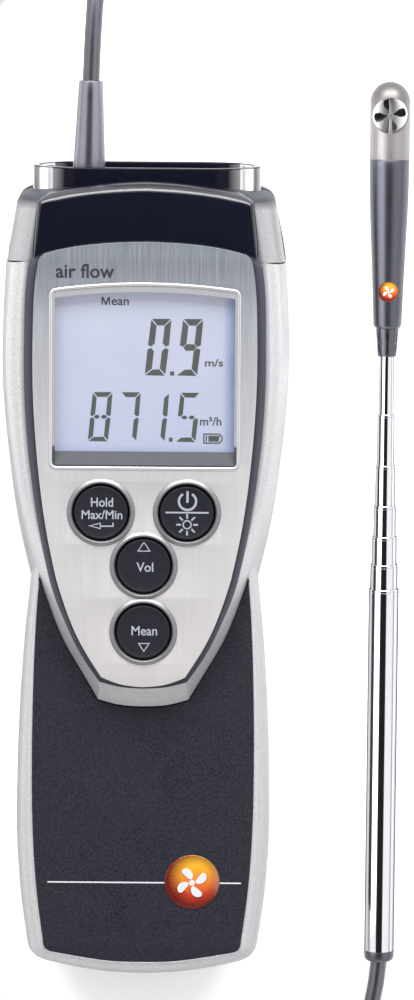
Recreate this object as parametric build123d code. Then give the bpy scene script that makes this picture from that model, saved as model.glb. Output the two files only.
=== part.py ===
"""Vane anemometer with its telescopic probe lying beside it, in millimetres.

X points right, Y toward the instrument's socket end and the probe's head, Z out of the
instrument's face. Everything rests on z = 0 and the origin is the middle of the footprint
without the cable.
"""

import math
import os

from build123d import *

os.makedirs("parts", exist_ok=True)

# ---- driving dimensions -------------------------------------------------------------
XC = -13.53            # centre line of the instrument
PX, PZ = 41.01, 4.53   # axis of the probe, which runs along Y
Z_SPLIT = 16.0         # rear shell meets front shell
Z_WIDE = 23.0          # the outline stays full width up to here
Z_LOWER = 33.0         # face of the lower housing
Z_UPPER = 37.4         # shoulder round the raised face
Z_FACE = 39.0          # top of the face plate
Y_HEAD = 61.8          # joint between housing and head cap
Y_END = 79.3           # end wall of the head cap
Y_BOTTOM = -99.5       # foot of the instrument
GAP = 0.15             # gap at visible joints

BUTTONS = [(-9.5, 7.45), (9.5, 7.45), (0.0, -4.4), (0.0, -19.2)]
BUTTON_R = 5.95
BUTTON_TRAVEL = 0.8
BADGE = (11.2, -76.7)
BADGE_R = 6.1

CORD_D = 3.8
CORD_LENGTH = 1500.0
COIL_C = (-8.0, 155.0)
COIL_MID_R = 22.0

made = {}


def keep(name, shape):
    """Write one piece to its own file."""
    solids = shape.solids()
    shape = solids[0] if len(solids) == 1 else Compound(children=list(solids))
    made[name] = shape
    export_step(shape, "parts/" + name + ".step")


def at(u, y, z, shape):
    """Place a shape by instrument coordinates, u being measured from the centre line."""
    return Pos(XC + u, y, z) * shape


def block(u0, u1, y0, y1, z0, z1):
    """A box given by its limits in instrument coordinates."""
    size = Box(u1 - u0, y1 - y0, z1 - z0)
    return at((u0 + u1) / 2, (y0 + y1) / 2, (z0 + z1) / 2, size)


def rod(u, y, r, z0, z1):
    """An upright cylinder in instrument coordinates."""
    return at(u, y, (z0 + z1) / 2, Cylinder(r, z1 - z0))


def edge(points, z):
    """A line or smooth curve through points given as (u, y)."""
    where = [(XC + u, y, z) for u, y in points]
    return Line(*where) if len(where) == 2 else Spline(*where)


def section(z, bottom, side, top):
    """A face symmetrical about the centre line, from the right half's three runs.

    The bottom run goes outward from the centre, the side run upward, the top run inward.
    """
    low = [(-u, y) for u, y in reversed(bottom[1:])] + bottom
    high = top + [(-u, y) for u, y in reversed(top[:-1])]
    left = [(-u, y) for u, y in side]
    wire = Wire([edge(low, z), edge(side, z), edge(high, z), edge(left, z)])
    return Face(wire)


def inset(run, d, dy=0.0):
    """Move a run toward the centre line by d and along Y by dy."""
    return [(max(u - d, 0.0), y + dy) for u, y in run]


# ---- outlines, right half, as (u, y) --------------------------------------------------
LOW_BOTTOM = [(0, -99.5), (12, -98.8), (20, -97.2)]
LOW_CORNER = [(20, -97.2), (24.6, -94.6), (26.2, -90.5)]
LOW_SIDE = [(26.2, -90.5), (27.8, -78), (28.4, -62), (28.1, -46), (27.1, -28), (25.4, -9.5),
            (24.4, 2)]
UP_SIDE = [(25.3, -9.6), (27.4, -1), (29.1, 8), (30.5, 19), (31.6, 30), (32.0, 42),
           (31.7, 52), (31.2, 61.8)]
V_SIDE = [(10.5, -37.0), (18, -27.0), (22.5, -18.0), (25.3, -9.6)]
MID_SIDE = [(10.1, -35.5), (14.2, -28.4), (17.7, -22.2), (20.4, -15.7), (23.0, -8.0),
            (25.1, -1), (27.3, 8), (29.2, 19), (30.3, 30), (30.8, 42), (30.4, 52),
            (29.8, 61.8)]
TOP_SIDE = [(9.7, -30.8), (16.2, -19.6), (19.0, -12.9), (21.3, -5.7), (23.8, 8),
            (25.6, 19), (26.6, 30), (27.0, 43), (26.5, 55), (25.6, 61.8)]
PLATE_SIDE = [(9.3, -29.5), (12.8, -24.1), (16.4, -15.7), (18.9, -8.3), (21.0, 1.2),
              (23.0, 14.5), (24.5, 28.3), (24.8, 43), (24.2, 55.6), (23.6, 61.7)]
PLATE_TOP = [(23.6, 61.7), (22.9, 63.6), (21.4, 64.7), (12, 66.4), (0, 67.0)]
HEAD_SIDE = [(30.8, 61.95), (30.2, 66.5), (29.5, 71), (28.9, 74.4)]
HEAD_TOP = [(28.9, 74.4), (27.6, 76.9), (24.6, 78.1), (14, 79.0), (0, 79.3)]


def lower_face(z, d):
    """Outline of the lower housing, inset by d."""
    bottom = inset(LOW_BOTTOM, 0, d)
    bottom = [(u * (1 - d / 40), y) for u, y in bottom]
    corner = [bottom[-1], (24.6 - d, -94.6 + d * 0.8), (26.2 - d, -90.5 + d * 0.3)]
    side = inset(LOW_SIDE, d)
    side[0] = corner[-1]
    low = [(-u, y) for u, y in reversed(bottom[1:])] + bottom
    left_corner = [(-u, y) for u, y in corner]
    left_side = [(-u, y) for u, y in side]
    top = [side[-1], left_side[-1]]
    runs = [low, corner, side, top, left_side, left_corner]
    return Face(Wire([edge(run, z) for run in runs]))


def upper_face(z, side, bottom_y, top_y=Y_HEAD):
    """Outline of the raised housing, with a straight joint at the head."""
    corner = side[0]
    bottom = [(0, bottom_y), (corner[0] * 0.55, bottom_y + 0.45), corner]
    return section(z, bottom, side, [side[-1], (0, top_y)])


def head_face(z, d, front=0.0):
    """Outline of the head cap, inset by d at the sides and by front at the end wall."""
    side = inset(HEAD_SIDE, d)
    top = [(u - d if u else 0.0, y - front) for u, y in HEAD_TOP]
    side[-1] = top[0]
    return section(z, [(0, 61.95), side[0]], side, top)


def straight(face, height):
    """Extrude a horizontal face upward."""
    return extrude(face, amount=height, dir=(0, 0, 1))


# ---- rear shell ----------------------------------------------------------------------
WIDE_SIDE = V_SIDE[:-1] + UP_SIDE


def rear_section(z, d):
    """Whole outline of the instrument's upper part including the head, inset by d."""
    side = inset(WIDE_SIDE, d)
    side += [(30.2 - d, 68), (28.9 - d, 74.4)]
    top = [(u - d if u else 0.0, y - d) for u, y in HEAD_TOP]
    top[0] = side[-1]
    bottom = [(0, -38.5), (5.5, -38.0), side[0]]
    return section(z, bottom, side, top)


rear_low = loft([lower_face(0, 3.4), lower_face(1.6, 2.0), lower_face(5.5, 0.7),
                 lower_face(10, 0.0)], ruled=True)
rear_low += straight(lower_face(10, 0.0), Z_SPLIT - 10)
rear_up = loft([rear_section(0, 3.4), rear_section(1.6, 2.0), rear_section(5.5, 0.7),
                rear_section(10, 0.0)], ruled=True)
rear_up += straight(rear_section(10, 0.0), Z_SPLIT - 10)
rear = rear_low + rear_up
rear -= straight(lower_face(2.2, 4.2), Z_SPLIT)
rear -= straight(rear_section(2.2, 4.2), Z_SPLIT) & block(-40, 40, -60, 73.2, 0, 40)

# Battery bay walls either side of the door, and a cross wall at its upper end.
for u in (-18.2, 16.8):
    rear += block(u, u + 1.4, -92, -36.0, 2.0, 12.0)
rear += block(-18.2, 18.2, -37.2, -35.8, 2.0, 10.0)

DOOR_U = 15.0
DOOR_Y0, DOOR_Y1 = -96.0, -40.0
door_cut = block(-DOOR_U - 0.2, DOOR_U + 0.2, -101, DOOR_Y1 + 0.2, -1.0, 1.3)
door_cut += block(-DOOR_U - 1.2, DOOR_U + 1.2, -101, DOOR_Y1 + 0.2, 1.0, 2.25)
rear -= door_cut

SCREWS = [(-25.2, 52.0), (25.2, 52.0), (-21.8, -84.0), (21.8, -84.0)]
for u, y in SCREWS:
    rear += rod(u, y, 3.3, 1.9, Z_SPLIT)
    rear -= rod(u, y, 3.0, -1.0, 4.6)
    rear -= rod(u, y, 1.7, 4.0, Z_SPLIT + 1)

BEZEL_W, BEZEL_H, BEZEL_Z = 25.4, 12.0, 20.0
Y_RIM = 83.0


def stadium(half_w, half_h, y0, y1):
    """A prism along Y with round ends, centred on the socket."""
    plane = Plane(origin=(XC, y1, BEZEL_Z), x_dir=(1, 0, 0), z_dir=(0, 1, 0))
    profile = plane * SlotOverall(2 * half_w, 2 * half_h)
    return extrude(profile, amount=y1 - y0, dir=(0, -1, 0))


socket_hole = stadium(BEZEL_W + 0.02, BEZEL_H + 0.02, 74.8, 90)
rear -= socket_hole
keep("rear_shell", rear)

# ---- front shell ----------------------------------------------------------------------
front_low = straight(lower_face(Z_SPLIT, 0.0), Z_WIDE - Z_SPLIT)
front_low += loft([lower_face(Z_WIDE, 0.0), lower_face(27.5, 0.5), lower_face(30.8, 1.7),
                   lower_face(Z_LOWER, 3.7)], ruled=True)
front_up = straight(upper_face(Z_SPLIT, WIDE_SIDE, -38.5), Z_WIDE - Z_SPLIT)
front_up += loft([upper_face(Z_WIDE, WIDE_SIDE, -38.5), upper_face(Z_LOWER, MID_SIDE, -37.0),
                  upper_face(Z_UPPER, TOP_SIDE, -32.2)], ruled=True)
front = front_low + front_up
cavity_low = straight(lower_face(Z_SPLIT - 1, 4.6), 29.6 - Z_SPLIT + 1)
cavity_up = straight(upper_face(Z_SPLIT - 1, inset(TOP_SIDE, 1.7, 1.0), -30.6),
                     36.2 - Z_SPLIT + 1)
front -= cavity_low
front -= cavity_up
front -= block(-40, 40, Y_HEAD, 80, 0, 50)

# Recess of the lower panel: the lower face less a margin, outside the raised housing.
panel_area = straight(lower_face(31.6, 3.95), 6)
panel_keep = loft([upper_face(31.0, inset(MID_SIDE, -0.75, -0.6), -38.4),
                   upper_face(Z_LOWER, MID_SIDE, -37.0),
                   upper_face(39.0, inset(TOP_SIDE, 0.1), -31.8)], ruled=True)
panel_area -= block(-40, 40, -7.9, 20, 20, 50)
panel_cut = panel_area - panel_keep
front -= panel_cut

LCD_U, LCD_Y0, LCD_Y1, LCD_PEAK = 20.6, 17.4, 56.3, 57.7


def window(z, u, y0, y1, peak, height):
    """A block with an arched top edge, as the display opening has."""
    side = [(u, y0), (u, y1)]
    top = [(u, y1), (u * 0.5, y1 + (peak - y1) * 0.76), (0, peak)]
    return straight(section(z, [(0, y0), (u, y0)], side, top), height)


front -= window(30, LCD_U + 0.3, LCD_Y0 - 0.3, LCD_Y1 + 0.2, LCD_PEAK + 0.2, 12)
for u, y in BUTTONS:
    front -= rod(u, y, BUTTON_R + 0.45, 30, 45)
for u, y in SCREWS:
    post = rod(u, y, 3.0, Z_SPLIT, 30.5)
    front += post
    front -= rod(u, y, 1.45, Z_SPLIT - 1, 25)
keep("front_shell", front)

# ---- lower panel, accent line and badge ------------------------------------------------
panel = straight(lower_face(31.65, 4.02), Z_LOWER - 31.65)
panel -= block(-40, 40, -8.0, 20, 20, 50)
panel -= loft([upper_face(31.0, inset(MID_SIDE, -0.85, -0.7), -38.5),
               upper_face(33.5, inset(MID_SIDE, 0.0, -0.05), -37.0)], ruled=True)
panel -= rod(BADGE[0], BADGE[1], BADGE_R + 0.03, 31.0, 40)
accent_cut = block(-21.3, 4.6, -77.25, -76.9, 32.7, 40)
accent_cut += block(17.8, 22.2, -77.25, -76.9, 32.7, 40)
panel -= accent_cut
panel_solids = sorted(panel.solids(), key=lambda s: s.volume)
keep("lower_panel", panel_solids[-1])
accent = block(-21.3, 4.6, -77.25, -76.9, 32.7, 33.02)
accent += block(17.8, 22.2, -77.25, -76.9, 32.7, 33.02)
keep("accent_line", accent)
badge = rod(BADGE[0], BADGE[1], BADGE_R, 31.65, 33.3)
badge = chamfer(badge.edges().group_by(Axis.Z)[-1], 0.3)
keep("badge", badge)

# ---- face surround and face plate -------------------------------------------------------
SURROUND_TOP = [(25.6, 61.8), (24.2, 63.0), (21.8, 65.1), (12, 66.75), (0, 67.35)]


def surround_face(z, side, bottom_y, top):
    """Outline of the dark surround, arched at the head."""
    corner = side[0]
    bottom = [(0, bottom_y), (corner[0] * 0.55, bottom_y + 0.4), corner]
    return section(z, bottom, side, top)


def plate_face(z, d=0.0):
    """Outline of the brushed face plate, grown by d."""
    side = [(u + d, y) for u, y in PLATE_SIDE]
    top = [(u + d if u else 0.0, y + d) for u, y in PLATE_TOP]
    top[0] = side[-1]
    side[0] = (side[0][0], side[0][1] - d)
    corner = side[0]
    bottom = [(0, -31.7 - d), (corner[0] * 0.55, -31.1 - d), corner]
    return section(z, bottom, side, top)


surround = loft([surround_face(Z_UPPER, TOP_SIDE, -32.2, SURROUND_TOP),
                 plate_face(38.85, 0.3)], ruled=True)
surround -= straight(plate_face(38.1, 0.04), 3)
surround -= window(30, LCD_U + 0.02, LCD_Y0 - 0.02, LCD_Y1 + 0.02, LCD_PEAK + 0.02, 12)
for u, y in BUTTONS:
    surround -= rod(u, y, BUTTON_R + 0.4, 30, 45)
keep("face_surround", surround)

plate = straight(plate_face(38.1), Z_FACE - 38.1)
plate -= window(30, LCD_U + 0.02, LCD_Y0 - 0.02, LCD_Y1 + 0.02, LCD_PEAK + 0.02, 12)
for u, y in BUTTONS:
    lip = rod(u, y, 7.1, 38.9, 39.35) - rod(u, y, 6.75, 39.05, 40)
    lip += rod(u, y, 6.7, 38.9, 39.25)
    plate += lip
    plate -= rod(u, y, BUTTON_R + 0.35, 30, 45)
keep("face_plate", plate)

# ---- buttons, keypad and electronics ----------------------------------------------------
for number, (u, y) in enumerate(BUTTONS, 1):
    cap = rod(u, y, BUTTON_R, 35.6, 39.75)
    cap = fillet(cap.edges().group_by(Axis.Z)[-1], 0.55)
    cap += rod(u, y, BUTTON_R + 0.9, 35.0, 35.75)
    keep("button_" + str(number), cap)

Z_PCB = 30.4
pcb_points = [(-8.0, -27.5), (8.0, -27.5), (19.0, 2.0), (20.4, 9.0), (21.8, 20.0),
              (21.8, 58.5), (-21.8, 58.5), (-21.8, 20.0), (-20.4, 9.0), (-19.0, 2.0)]
pcb_wire = Polyline(*[(XC + u, y, Z_PCB) for u, y in pcb_points], close=True)
pcb = straight(Face(Wire(pcb_wire.edges())), 1.6)
PCB_SCREWS = [(-17.5, 13.0), (17.5, 13.0)]
for u, y in PCB_SCREWS:
    pcb -= rod(u, y, 1.15, 20, 40)
keep("circuit_board", pcb)

mat = block(-7.2, 7.2, -26.5, 12.9, 32.0, 33.4)
mat += block(-16.2, 16.2, 1.4, 12.9, 32.0, 33.4)
for u, y in BUTTONS:
    mat += rod(u, y, 2.6, 33.3, 34.0)
for u, y in PCB_SCREWS:
    mat -= rod(u, y, 2.6, 20, 40)
keep("keypad_mat", mat)

keep("lcd_backlight", block(-20.2, 20.2, 17.2, 57.0, 32.0, 34.2))
keep("lcd_panel", window(34.2, 20.25, 18.6, 55.6, 57.0, 1.6))
keep("lcd_lens", window(36.3, 20.3, 18.0, 56.0, 57.4, 0.7))
frame_piece = window(37.05, LCD_U - 0.02, LCD_Y0 + 0.02, LCD_Y1, LCD_PEAK, 1.95)
glass_cut = window(36, 19.8, 20.8, 54.9, 56.3, 5)
ramp_points = [(17.7, 39.2), (20.8, 37.35), (20.8, 40.5), (17.7, 40.5)]
ramp_plane = Plane(origin=(XC - 19.8, 0, 0), x_dir=(0, 1, 0), z_dir=(1, 0, 0))
ramp = extrude(ramp_plane * make_face(Polyline(*ramp_points, close=True)), amount=39.6)
keep("lcd_frame", frame_piece - glass_cut - ramp)

keep("lcd_connector_strip", block(-14.5, 14.5, 14.0, 16.6, 32.0, 34.2))

pads = block(-8, 8, 20, 32, 28.8, Z_PCB)
keep("measuring_chip", pads)
header = block(-16.5, -9.5, 50.5, 56.5, 25.4, Z_PCB)
keep("probe_lead_header", header)

pcb_screw_solids = []
for u, y in PCB_SCREWS:
    head = rod(u, y, 2.1, 28.9, Z_PCB)
    head += rod(u, y, 1.1, Z_PCB, 36.0)
    head -= block(u - 1.6, u + 1.6, y - 0.25, y + 0.25, 28.0, 29.5)
    head -= block(u - 0.25, u + 0.25, y - 1.6, y + 1.6, 28.0, 29.5)
    pcb_screw_solids.append(head.solids()[0])
keep("board_screws", Compound(children=pcb_screw_solids))

# ---- housing screws -----------------------------------------------------------------------
screw_solids = []
for u, y in SCREWS:
    screw = rod(u, y, 2.75, 2.5, 4.6)
    screw += rod(u, y, 1.4, 4.6, 23.0)
    screw -= block(u - 1.9, u + 1.9, y - 0.3, y + 0.3, 1.5, 3.4)
    screw -= block(u - 0.3, u + 0.3, y - 1.9, y + 1.9, 1.5, 3.4)
    screw_solids.append(screw.solids()[0])
keep("housing_screws", Compound(children=screw_solids))

# ---- battery, clip, leads and door --------------------------------------------------------
battery = block(-13.2, 13.2, -91.5, -45.2, 2.9, 20.1)
battery = fillet(battery.edges().filter_by(Axis.Y), 1.6)
for u in (-6.35, 6.35):
    post = Cylinder(2.9, 2.4, rotation=(90, 0, 0))
    battery += at(u, -44.1, 11.5, post)
keep("battery", battery)
clip = block(-12.6, 12.6, -42.7, -40.9, 5.0, 18.0)
clip = fillet(clip.edges().filter_by(Axis.Y), 1.2)
for u in (-6.35, 6.35):
    ring = Cylinder(3.6, 1.4, rotation=(90, 0, 0)) - Cylinder(3.0, 3.0, rotation=(90, 0, 0))
    clip += at(u, -43.3, 11.5, ring)
keep("battery_clip", clip)
lead_solids = []
for u in (-2.0, 2.0):
    start = (XC + u * 3.2, -40.9, 11.5)
    path = FilletPolyline(start, (XC + u * 3.0, -33.0, 13.0), (XC + u * 1.4, -25.0, 22.0),
                          (XC + u, -23.5, Z_PCB), radius=[2.5, 2.5])
    plane = Plane(origin=start, z_dir=path % 0)
    lead = sweep(plane * Circle(0.6), path=path)
    lead_solids.append(lead.solids()[0])
keep("battery_leads", Compound(children=lead_solids))

door = block(-DOOR_U, DOOR_U, DOOR_Y0, DOOR_Y1, 0.0, 1.2)
door += block(-DOOR_U - 1.0, DOOR_U + 1.0, DOOR_Y0, DOOR_Y1, 1.15, 2.05)
for step in range(6):
    door -= block(-7, 7, -54.0 + 2.0 * step, -53.0 + 2.0 * step, -1, 0.5)
keep("battery_door", door)

# ---- head cap, inlay, bezel, socket insert and boot -----------------------------------------
head_cap = straight(head_face(Z_SPLIT, 0.0), Z_WIDE - Z_SPLIT)
head_cap += loft([head_face(Z_WIDE, 0.0, 0.0), head_face(29, 0.5, 0.1),
                  head_face(33.5, 2.0, 0.4), head_face(36.2, 4.0, 1.0),
                  head_face(38.2, 6.4, 2.6)], ruled=True)
head_cap -= straight(head_face(Z_SPLIT - 1, 7.0, 6.1), 35.0 - Z_SPLIT + 1)
head_cap -= socket_hole
head_cap -= straight(surround_face(37.25, inset(TOP_SIDE, -6), -32.2,
                                   [(31.6, 61.8), (25.9, 62.3), (24.4, 63.3), (22.0, 65.3),
                                    (12, 66.95), (0, 67.55)]), 5)
INLAY_SIDE = [(24.6, 64.2), (24.3, 68), (23.9, 72), (23.4, 75.0)]
INLAY_TOP = [(23.4, 75.0), (20.0, 76.2), (14.0, 77.2), (7.5, 77.9), (0, 78.1)]
INLAY_LOW = [(0, 67.7), (12, 67.1), (20.0, 65.9), (22.6, 65.0), (24.6, 64.2)]


def inlay_face(z, d):
    """Outline of the dark head inlay, grown by d."""
    side = [(u + d, y) for u, y in INLAY_SIDE]
    low = [(u + (d if u else 0.0), y - d) for u, y in INLAY_LOW]
    top = [(u + (d if u else 0.0), y + d) for u, y in INLAY_TOP]
    side[0] = low[-1]
    side[-1] = top[0]
    return section(z, low, side, top)


head_cap -= straight(inlay_face(36.4, 0.05), 5)
head_solids = sorted(head_cap.solids(), key=lambda s: s.volume)
keep("head_cap", head_solids[-1])
inlay = straight(inlay_face(36.45, 0.0), 0.65)
inlay += loft([inlay_face(37.1, 0.0), inlay_face(38.1, -0.5), inlay_face(38.65, -1.4)],
              ruled=True)
keep("head_inlay", inlay)

bezel = stadium(BEZEL_W, BEZEL_H, 74.85, Y_RIM) - stadium(BEZEL_W - 1.5, BEZEL_H - 1.5, 70, 90)
keep("socket_bezel", bezel)

BOOT_U, BOOT_Z = -13.0, 21.6
BOOT_TIP = (-26.05, 101.74, BOOT_Z)
boot_base = (XC + BOOT_U, 75.2, BOOT_Z)
boot_axis = Vector(*BOOT_TIP) - Vector(*boot_base)
boot_plane = Plane(origin=boot_base, x_dir=(0, 0, 1), z_dir=boot_axis)
boot_len = boot_axis.length
boot_points = [(0, 0), (5.2, 0), (5.2, 1.4), (3.4, 1.4), (3.4, 6.0), (3.62, 6.2), (3.5, 8.0),
               (3.12, boot_len * 0.6), (2.88, boot_len - 1.2), (2.7, boot_len), (0, boot_len)]
boot_profile = Rot(90, 0, 0) * make_face(Polyline(*boot_points, close=True))
boot = boot_plane * revolve(boot_profile, Axis.Z)
keep("cable_boot", boot)
insert = stadium(BEZEL_W - 1.53, BEZEL_H - 1.53, 76.8, 80.4)
insert -= Pos(XC + BOOT_U + 0.06, 78.6, BOOT_Z) * Cylinder(3.66, 8, rotation=(90, 0, 0))
keep("socket_insert", insert)

# ---- probe --------------------------------------------------------------------------------


def turned(points):
    """A solid of revolution about the probe's axis from (y, radius) points."""
    outline = [(PX + r, y, PZ) for y, r in points]
    face = make_face(Polyline(*outline, close=True))
    return revolve(face, Axis((PX, 0, PZ), (0, 1, 0)))


def tube(y0, y1, outer, inner):
    """A tube along the probe's axis with a rolled edge at its open end."""
    return turned([(y0, inner), (y0, outer), (y1 - 0.15, outer), (y1, outer - 0.1),
                   (y1, inner)])


TUBE_OD = [6.80, 6.20, 5.62, 5.05, 4.48, 3.92, 3.37]
TUBE_TOP = [-14.55, -8.90, -2.42, 4.64, 13.95, 25.67, 50.8]
TUBE_LEN = [84.7, 76.0, 76.0, 76.0, 76.0, 76.0, 100.0]
WALL = 0.2
for k in range(7):
    outer = TUBE_OD[k] / 2
    low = TUBE_TOP[k] - TUBE_LEN[k]
    keep("probe_tube_" + str(k + 1), tube(low, TUBE_TOP[k], outer, outer - WALL))

CAP_Y = -101.74
keep("probe_end_cap", turned([(CAP_Y, 0), (CAP_Y, 3.0), (CAP_Y + 0.6, 3.47), (-99.25, 3.47),
                              (-99.25, 3.2), (-95.5, 3.2), (-95.5, 0)]))

collar = turned([(38.95, 1.74), (38.95, 2.15), (45.4, 2.62), (45.4, 2.2), (52.0, 2.2),
                 (52.0, 1.74)])
for side in (-1, 1):
    collar -= Pos(PX + side * 1.5, 40.6, PZ + 2.2) * Box(0.35, 5.0, 2.6)
keep("probe_collar", collar)

handle = turned([(45.45, 2.2), (45.45, 2.85), (46.1, 3.2), (60, 3.75), (74, 4.35),
                 (83.6, 4.53), (83.6, 3.0), (76.0, 3.0), (76.0, 1.9), (52.0, 1.9),
                 (52.0, 2.2)])
handle -= Pos(PX, 53.85, PZ + 3.55) * Cylinder(2.27, 1.0)
keep("probe_handle", handle)
small_badge = Pos(PX, 53.85, PZ + 3.43) * Cylinder(2.25, 0.7)
keep("probe_badge", small_badge)

HOLE_Y, HOLE_R = 93.6, 4.03
dome = [(83.63, 0), (83.63, 4.53), (96.6, 4.53)]
for step in range(1, 8):
    angle = math.radians(90 * step / 8)
    dome.append((96.6 + 4.6 * math.sin(angle), 4.53 * math.cos(angle)))
head = turned(dome + [(101.2, 0.4), (101.2, 0)])
head += turned([(76.2, 0), (76.2, 3.0), (83.7, 3.0), (83.7, 0)])
head -= Pos(PX, HOLE_Y, PZ) * Cylinder(HOLE_R, 12)
COIL_R = 0.9
head -= Pos(PX, 86.2, PZ) * Cylinder(COIL_R, 5.0, rotation=(90, 0, 0))
keep("probe_head", head)
keep("pickup_coil", Pos(PX, 86.2, PZ) * Cylinder(COIL_R, 4.8, rotation=(90, 0, 0)))

for name, side in (("bearing_bridge_front", 1), ("bearing_bridge_rear", -1)):
    bridge = Pos(PX, HOLE_Y, PZ + side * 2.95) * Box(1.3, 9, 0.7)
    bridge &= Pos(PX, HOLE_Y, PZ) * Cylinder(HOLE_R, 12)
    bridge += Pos(PX, HOLE_Y, PZ + side * 2.75) * Cylinder(0.7, 1.3)
    bridge -= Pos(PX, HOLE_Y, PZ + side * 2.4) * Cylinder(0.29, 1.5)
    keep(name, bridge)
hub = Pos(PX, HOLE_Y, PZ) * Cylinder(0.62, 3.0)
for step in range(4):
    blade = Pos(2.05, 0, 0) * Rot(38, 0, 0) * Box(3.1, 2.1, 0.22)
    trimmed = blade & Cylinder(3.6, 6)
    hub += Pos(PX, HOLE_Y, PZ) * Rot(0, 0, 90 * step + 12) * trimmed
hub -= Pos(PX, HOLE_Y, PZ) * Cylinder(0.25, 6)
keep("impeller", hub)
keep("impeller_axle", Pos(PX, HOLE_Y, PZ) * Cylinder(0.25, 6.0))

# ---- cable ----------------------------------------------------------------------------------


def cable(name, points):
    """A round cable through hand-chosen points, filleted at each of them."""
    runs = [(Vector(*b) - Vector(*a)).length for a, b in zip(points, points[1:])]
    radii = []
    for i in range(1, len(points) - 1):
        before = Vector(*points[i]) - Vector(*points[i - 1])
        after = Vector(*points[i + 1]) - Vector(*points[i])
        turn = math.radians(before.get_angle(after))
        radii.append(0.45 * min(runs[i - 1], runs[i]) / math.tan(turn / 2))
    path = FilletPolyline(*points, radius=radii)
    plane = Plane(origin=points[0], z_dir=path % 0)
    solid = sweep(plane * Circle(CORD_D / 2), path=path)
    expected = math.pi * CORD_D ** 2 / 4 * path.length
    print(name, "length", round(path.length, 1), "radii", [round(r, 1) for r in radii],
          "volume ratio", round(solid.volume / expected, 4))
    keep(name, solid)
    return path.length


R = CORD_D / 2
UPPER_ROUTE = [(-26.05, 101.74, 21.6), (-25.5, 119.0, 21.4), (-23.6, 134.0, 13.5),
               (-26.0, 150.0, 5.8), (-24.5, 164.0, 5.8)]
LOWER_ROUTE = [(-17.0, 131.4, 1.95), (-36.0, 133.0, 1.95), (-51.0, 119.0, 1.95),
               (-57.5, 96.0, 1.95), (-58.2, 66.0, 1.95), (-56.3, 30.0, 1.95),
               (-58.0, -15.0, 1.95), (-56.0, -55.0, 1.95), (-57.0, -90.0, 1.95),
               (-50.0, -116.0, 1.95), (-26.0, -130.0, 1.95), (2.0, -131.0, 1.95),
               (26.5, -132.5, 1.95), (39.7, -119.5, 3.1), (PX, CAP_Y, PZ)]
first = cable("cord_upper", UPPER_ROUTE)
last = cable("cord_lower", LOWER_ROUTE)
coil_length = CORD_LENGTH - first - last
print("coil holds", round(coil_length, 1), "mm in",
      round(coil_length / (2 * math.pi * COIL_MID_R), 2), "turns")
coil = Pos(COIL_C[0], COIL_C[1], 3.85) * (Cylinder(28.6, 7.6) - Cylinder(15.4, 9))
coil = chamfer(coil.edges(), 1.0)
keep("cord_coil", coil)

box = Compound(children=[s for n, s in made.items() if not n.startswith("cord_")])
bounds = box.bounding_box()
print("without cord", bounds.min, bounds.max)
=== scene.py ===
"""Looks of the vane anemometer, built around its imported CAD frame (Blender 4.5)."""
import math
from contextlib import contextmanager

import bmesh
import bpy
import numpy as np
from mathutils import Matrix, Vector


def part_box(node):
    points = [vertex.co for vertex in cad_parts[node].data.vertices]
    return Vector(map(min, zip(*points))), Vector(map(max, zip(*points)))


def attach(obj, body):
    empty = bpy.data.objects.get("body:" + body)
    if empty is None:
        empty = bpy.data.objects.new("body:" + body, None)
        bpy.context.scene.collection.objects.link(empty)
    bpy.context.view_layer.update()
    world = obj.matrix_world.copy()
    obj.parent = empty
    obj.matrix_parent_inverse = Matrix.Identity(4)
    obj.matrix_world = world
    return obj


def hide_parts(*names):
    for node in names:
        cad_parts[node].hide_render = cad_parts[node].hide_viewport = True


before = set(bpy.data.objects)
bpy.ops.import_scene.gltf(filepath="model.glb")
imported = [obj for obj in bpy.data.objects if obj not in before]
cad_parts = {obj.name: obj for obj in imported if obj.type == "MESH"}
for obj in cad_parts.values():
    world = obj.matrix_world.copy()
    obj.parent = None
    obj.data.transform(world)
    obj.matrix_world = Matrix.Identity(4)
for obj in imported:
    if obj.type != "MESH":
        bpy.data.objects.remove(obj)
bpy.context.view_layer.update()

MM = 0.001


def linked(name, data):
    """A new object in the scene."""
    obj = bpy.data.objects.new(name, data)
    bpy.context.scene.collection.objects.link(obj)
    return obj


def mm_box(node):
    """Corners of a CAD node in millimetres."""
    low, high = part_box(node)
    return [c / MM for c in low], [c / MM for c in high]


def centre_of(node):
    """Centre of a CAD node in millimetres."""
    low, high = mm_box(node)
    return [(a + b) / 2 for a, b in zip(low, high)]


XC = centre_of("front_shell")[0]
PX, _, PZ = centre_of("probe_handle")
Z_FACE = mm_box("face_plate")[0][2] + 0.9
KEY_R, FLANGE_R, PLATE_HOLE_R, SHELL_HOLE_R = 5.95, 6.4, 6.75, 7.05
KEYS = [(centre_of("button_%d" % k)[0] - XC, centre_of("button_%d" % k)[1]) for k in range(1, 5)]

# ---- camera -------------------------------------------------------------------------------
TILT = math.radians(8.0)
ROLL = math.radians(0.45)
DISTANCE = 984.0
TARGET = Vector((0.37, 10.17, 37.4))
LENS, SENSOR = 160.3, 36.0
back = Vector((0, math.sin(TILT), math.cos(TILT)))
across = Vector((1, 0, 0))
upward = back.cross(across)
right = across * math.cos(ROLL) + upward * math.sin(ROLL)
upward = back.cross(right)
camera = linked("camera", bpy.data.cameras.new("camera"))
turn = Matrix((right, upward, back)).transposed().to_4x4()
camera.matrix_world = Matrix.Translation((TARGET + back * DISTANCE) * MM) @ turn
camera.data.sensor_width = SENSOR
camera.data.lens = LENS
camera.data.clip_start = 0.05
bpy.context.scene.camera = camera

# ---- materials ------------------------------------------------------------------------------


def feed(tree, socket, value):
    """Give a socket a number, a colour triple or the output of another node."""
    if isinstance(value, (int, float)):
        socket.default_value = value
    elif isinstance(value, (tuple, list)):
        socket.default_value = (*value, 1.0)
    else:
        tree.links.new(value, socket)


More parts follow.
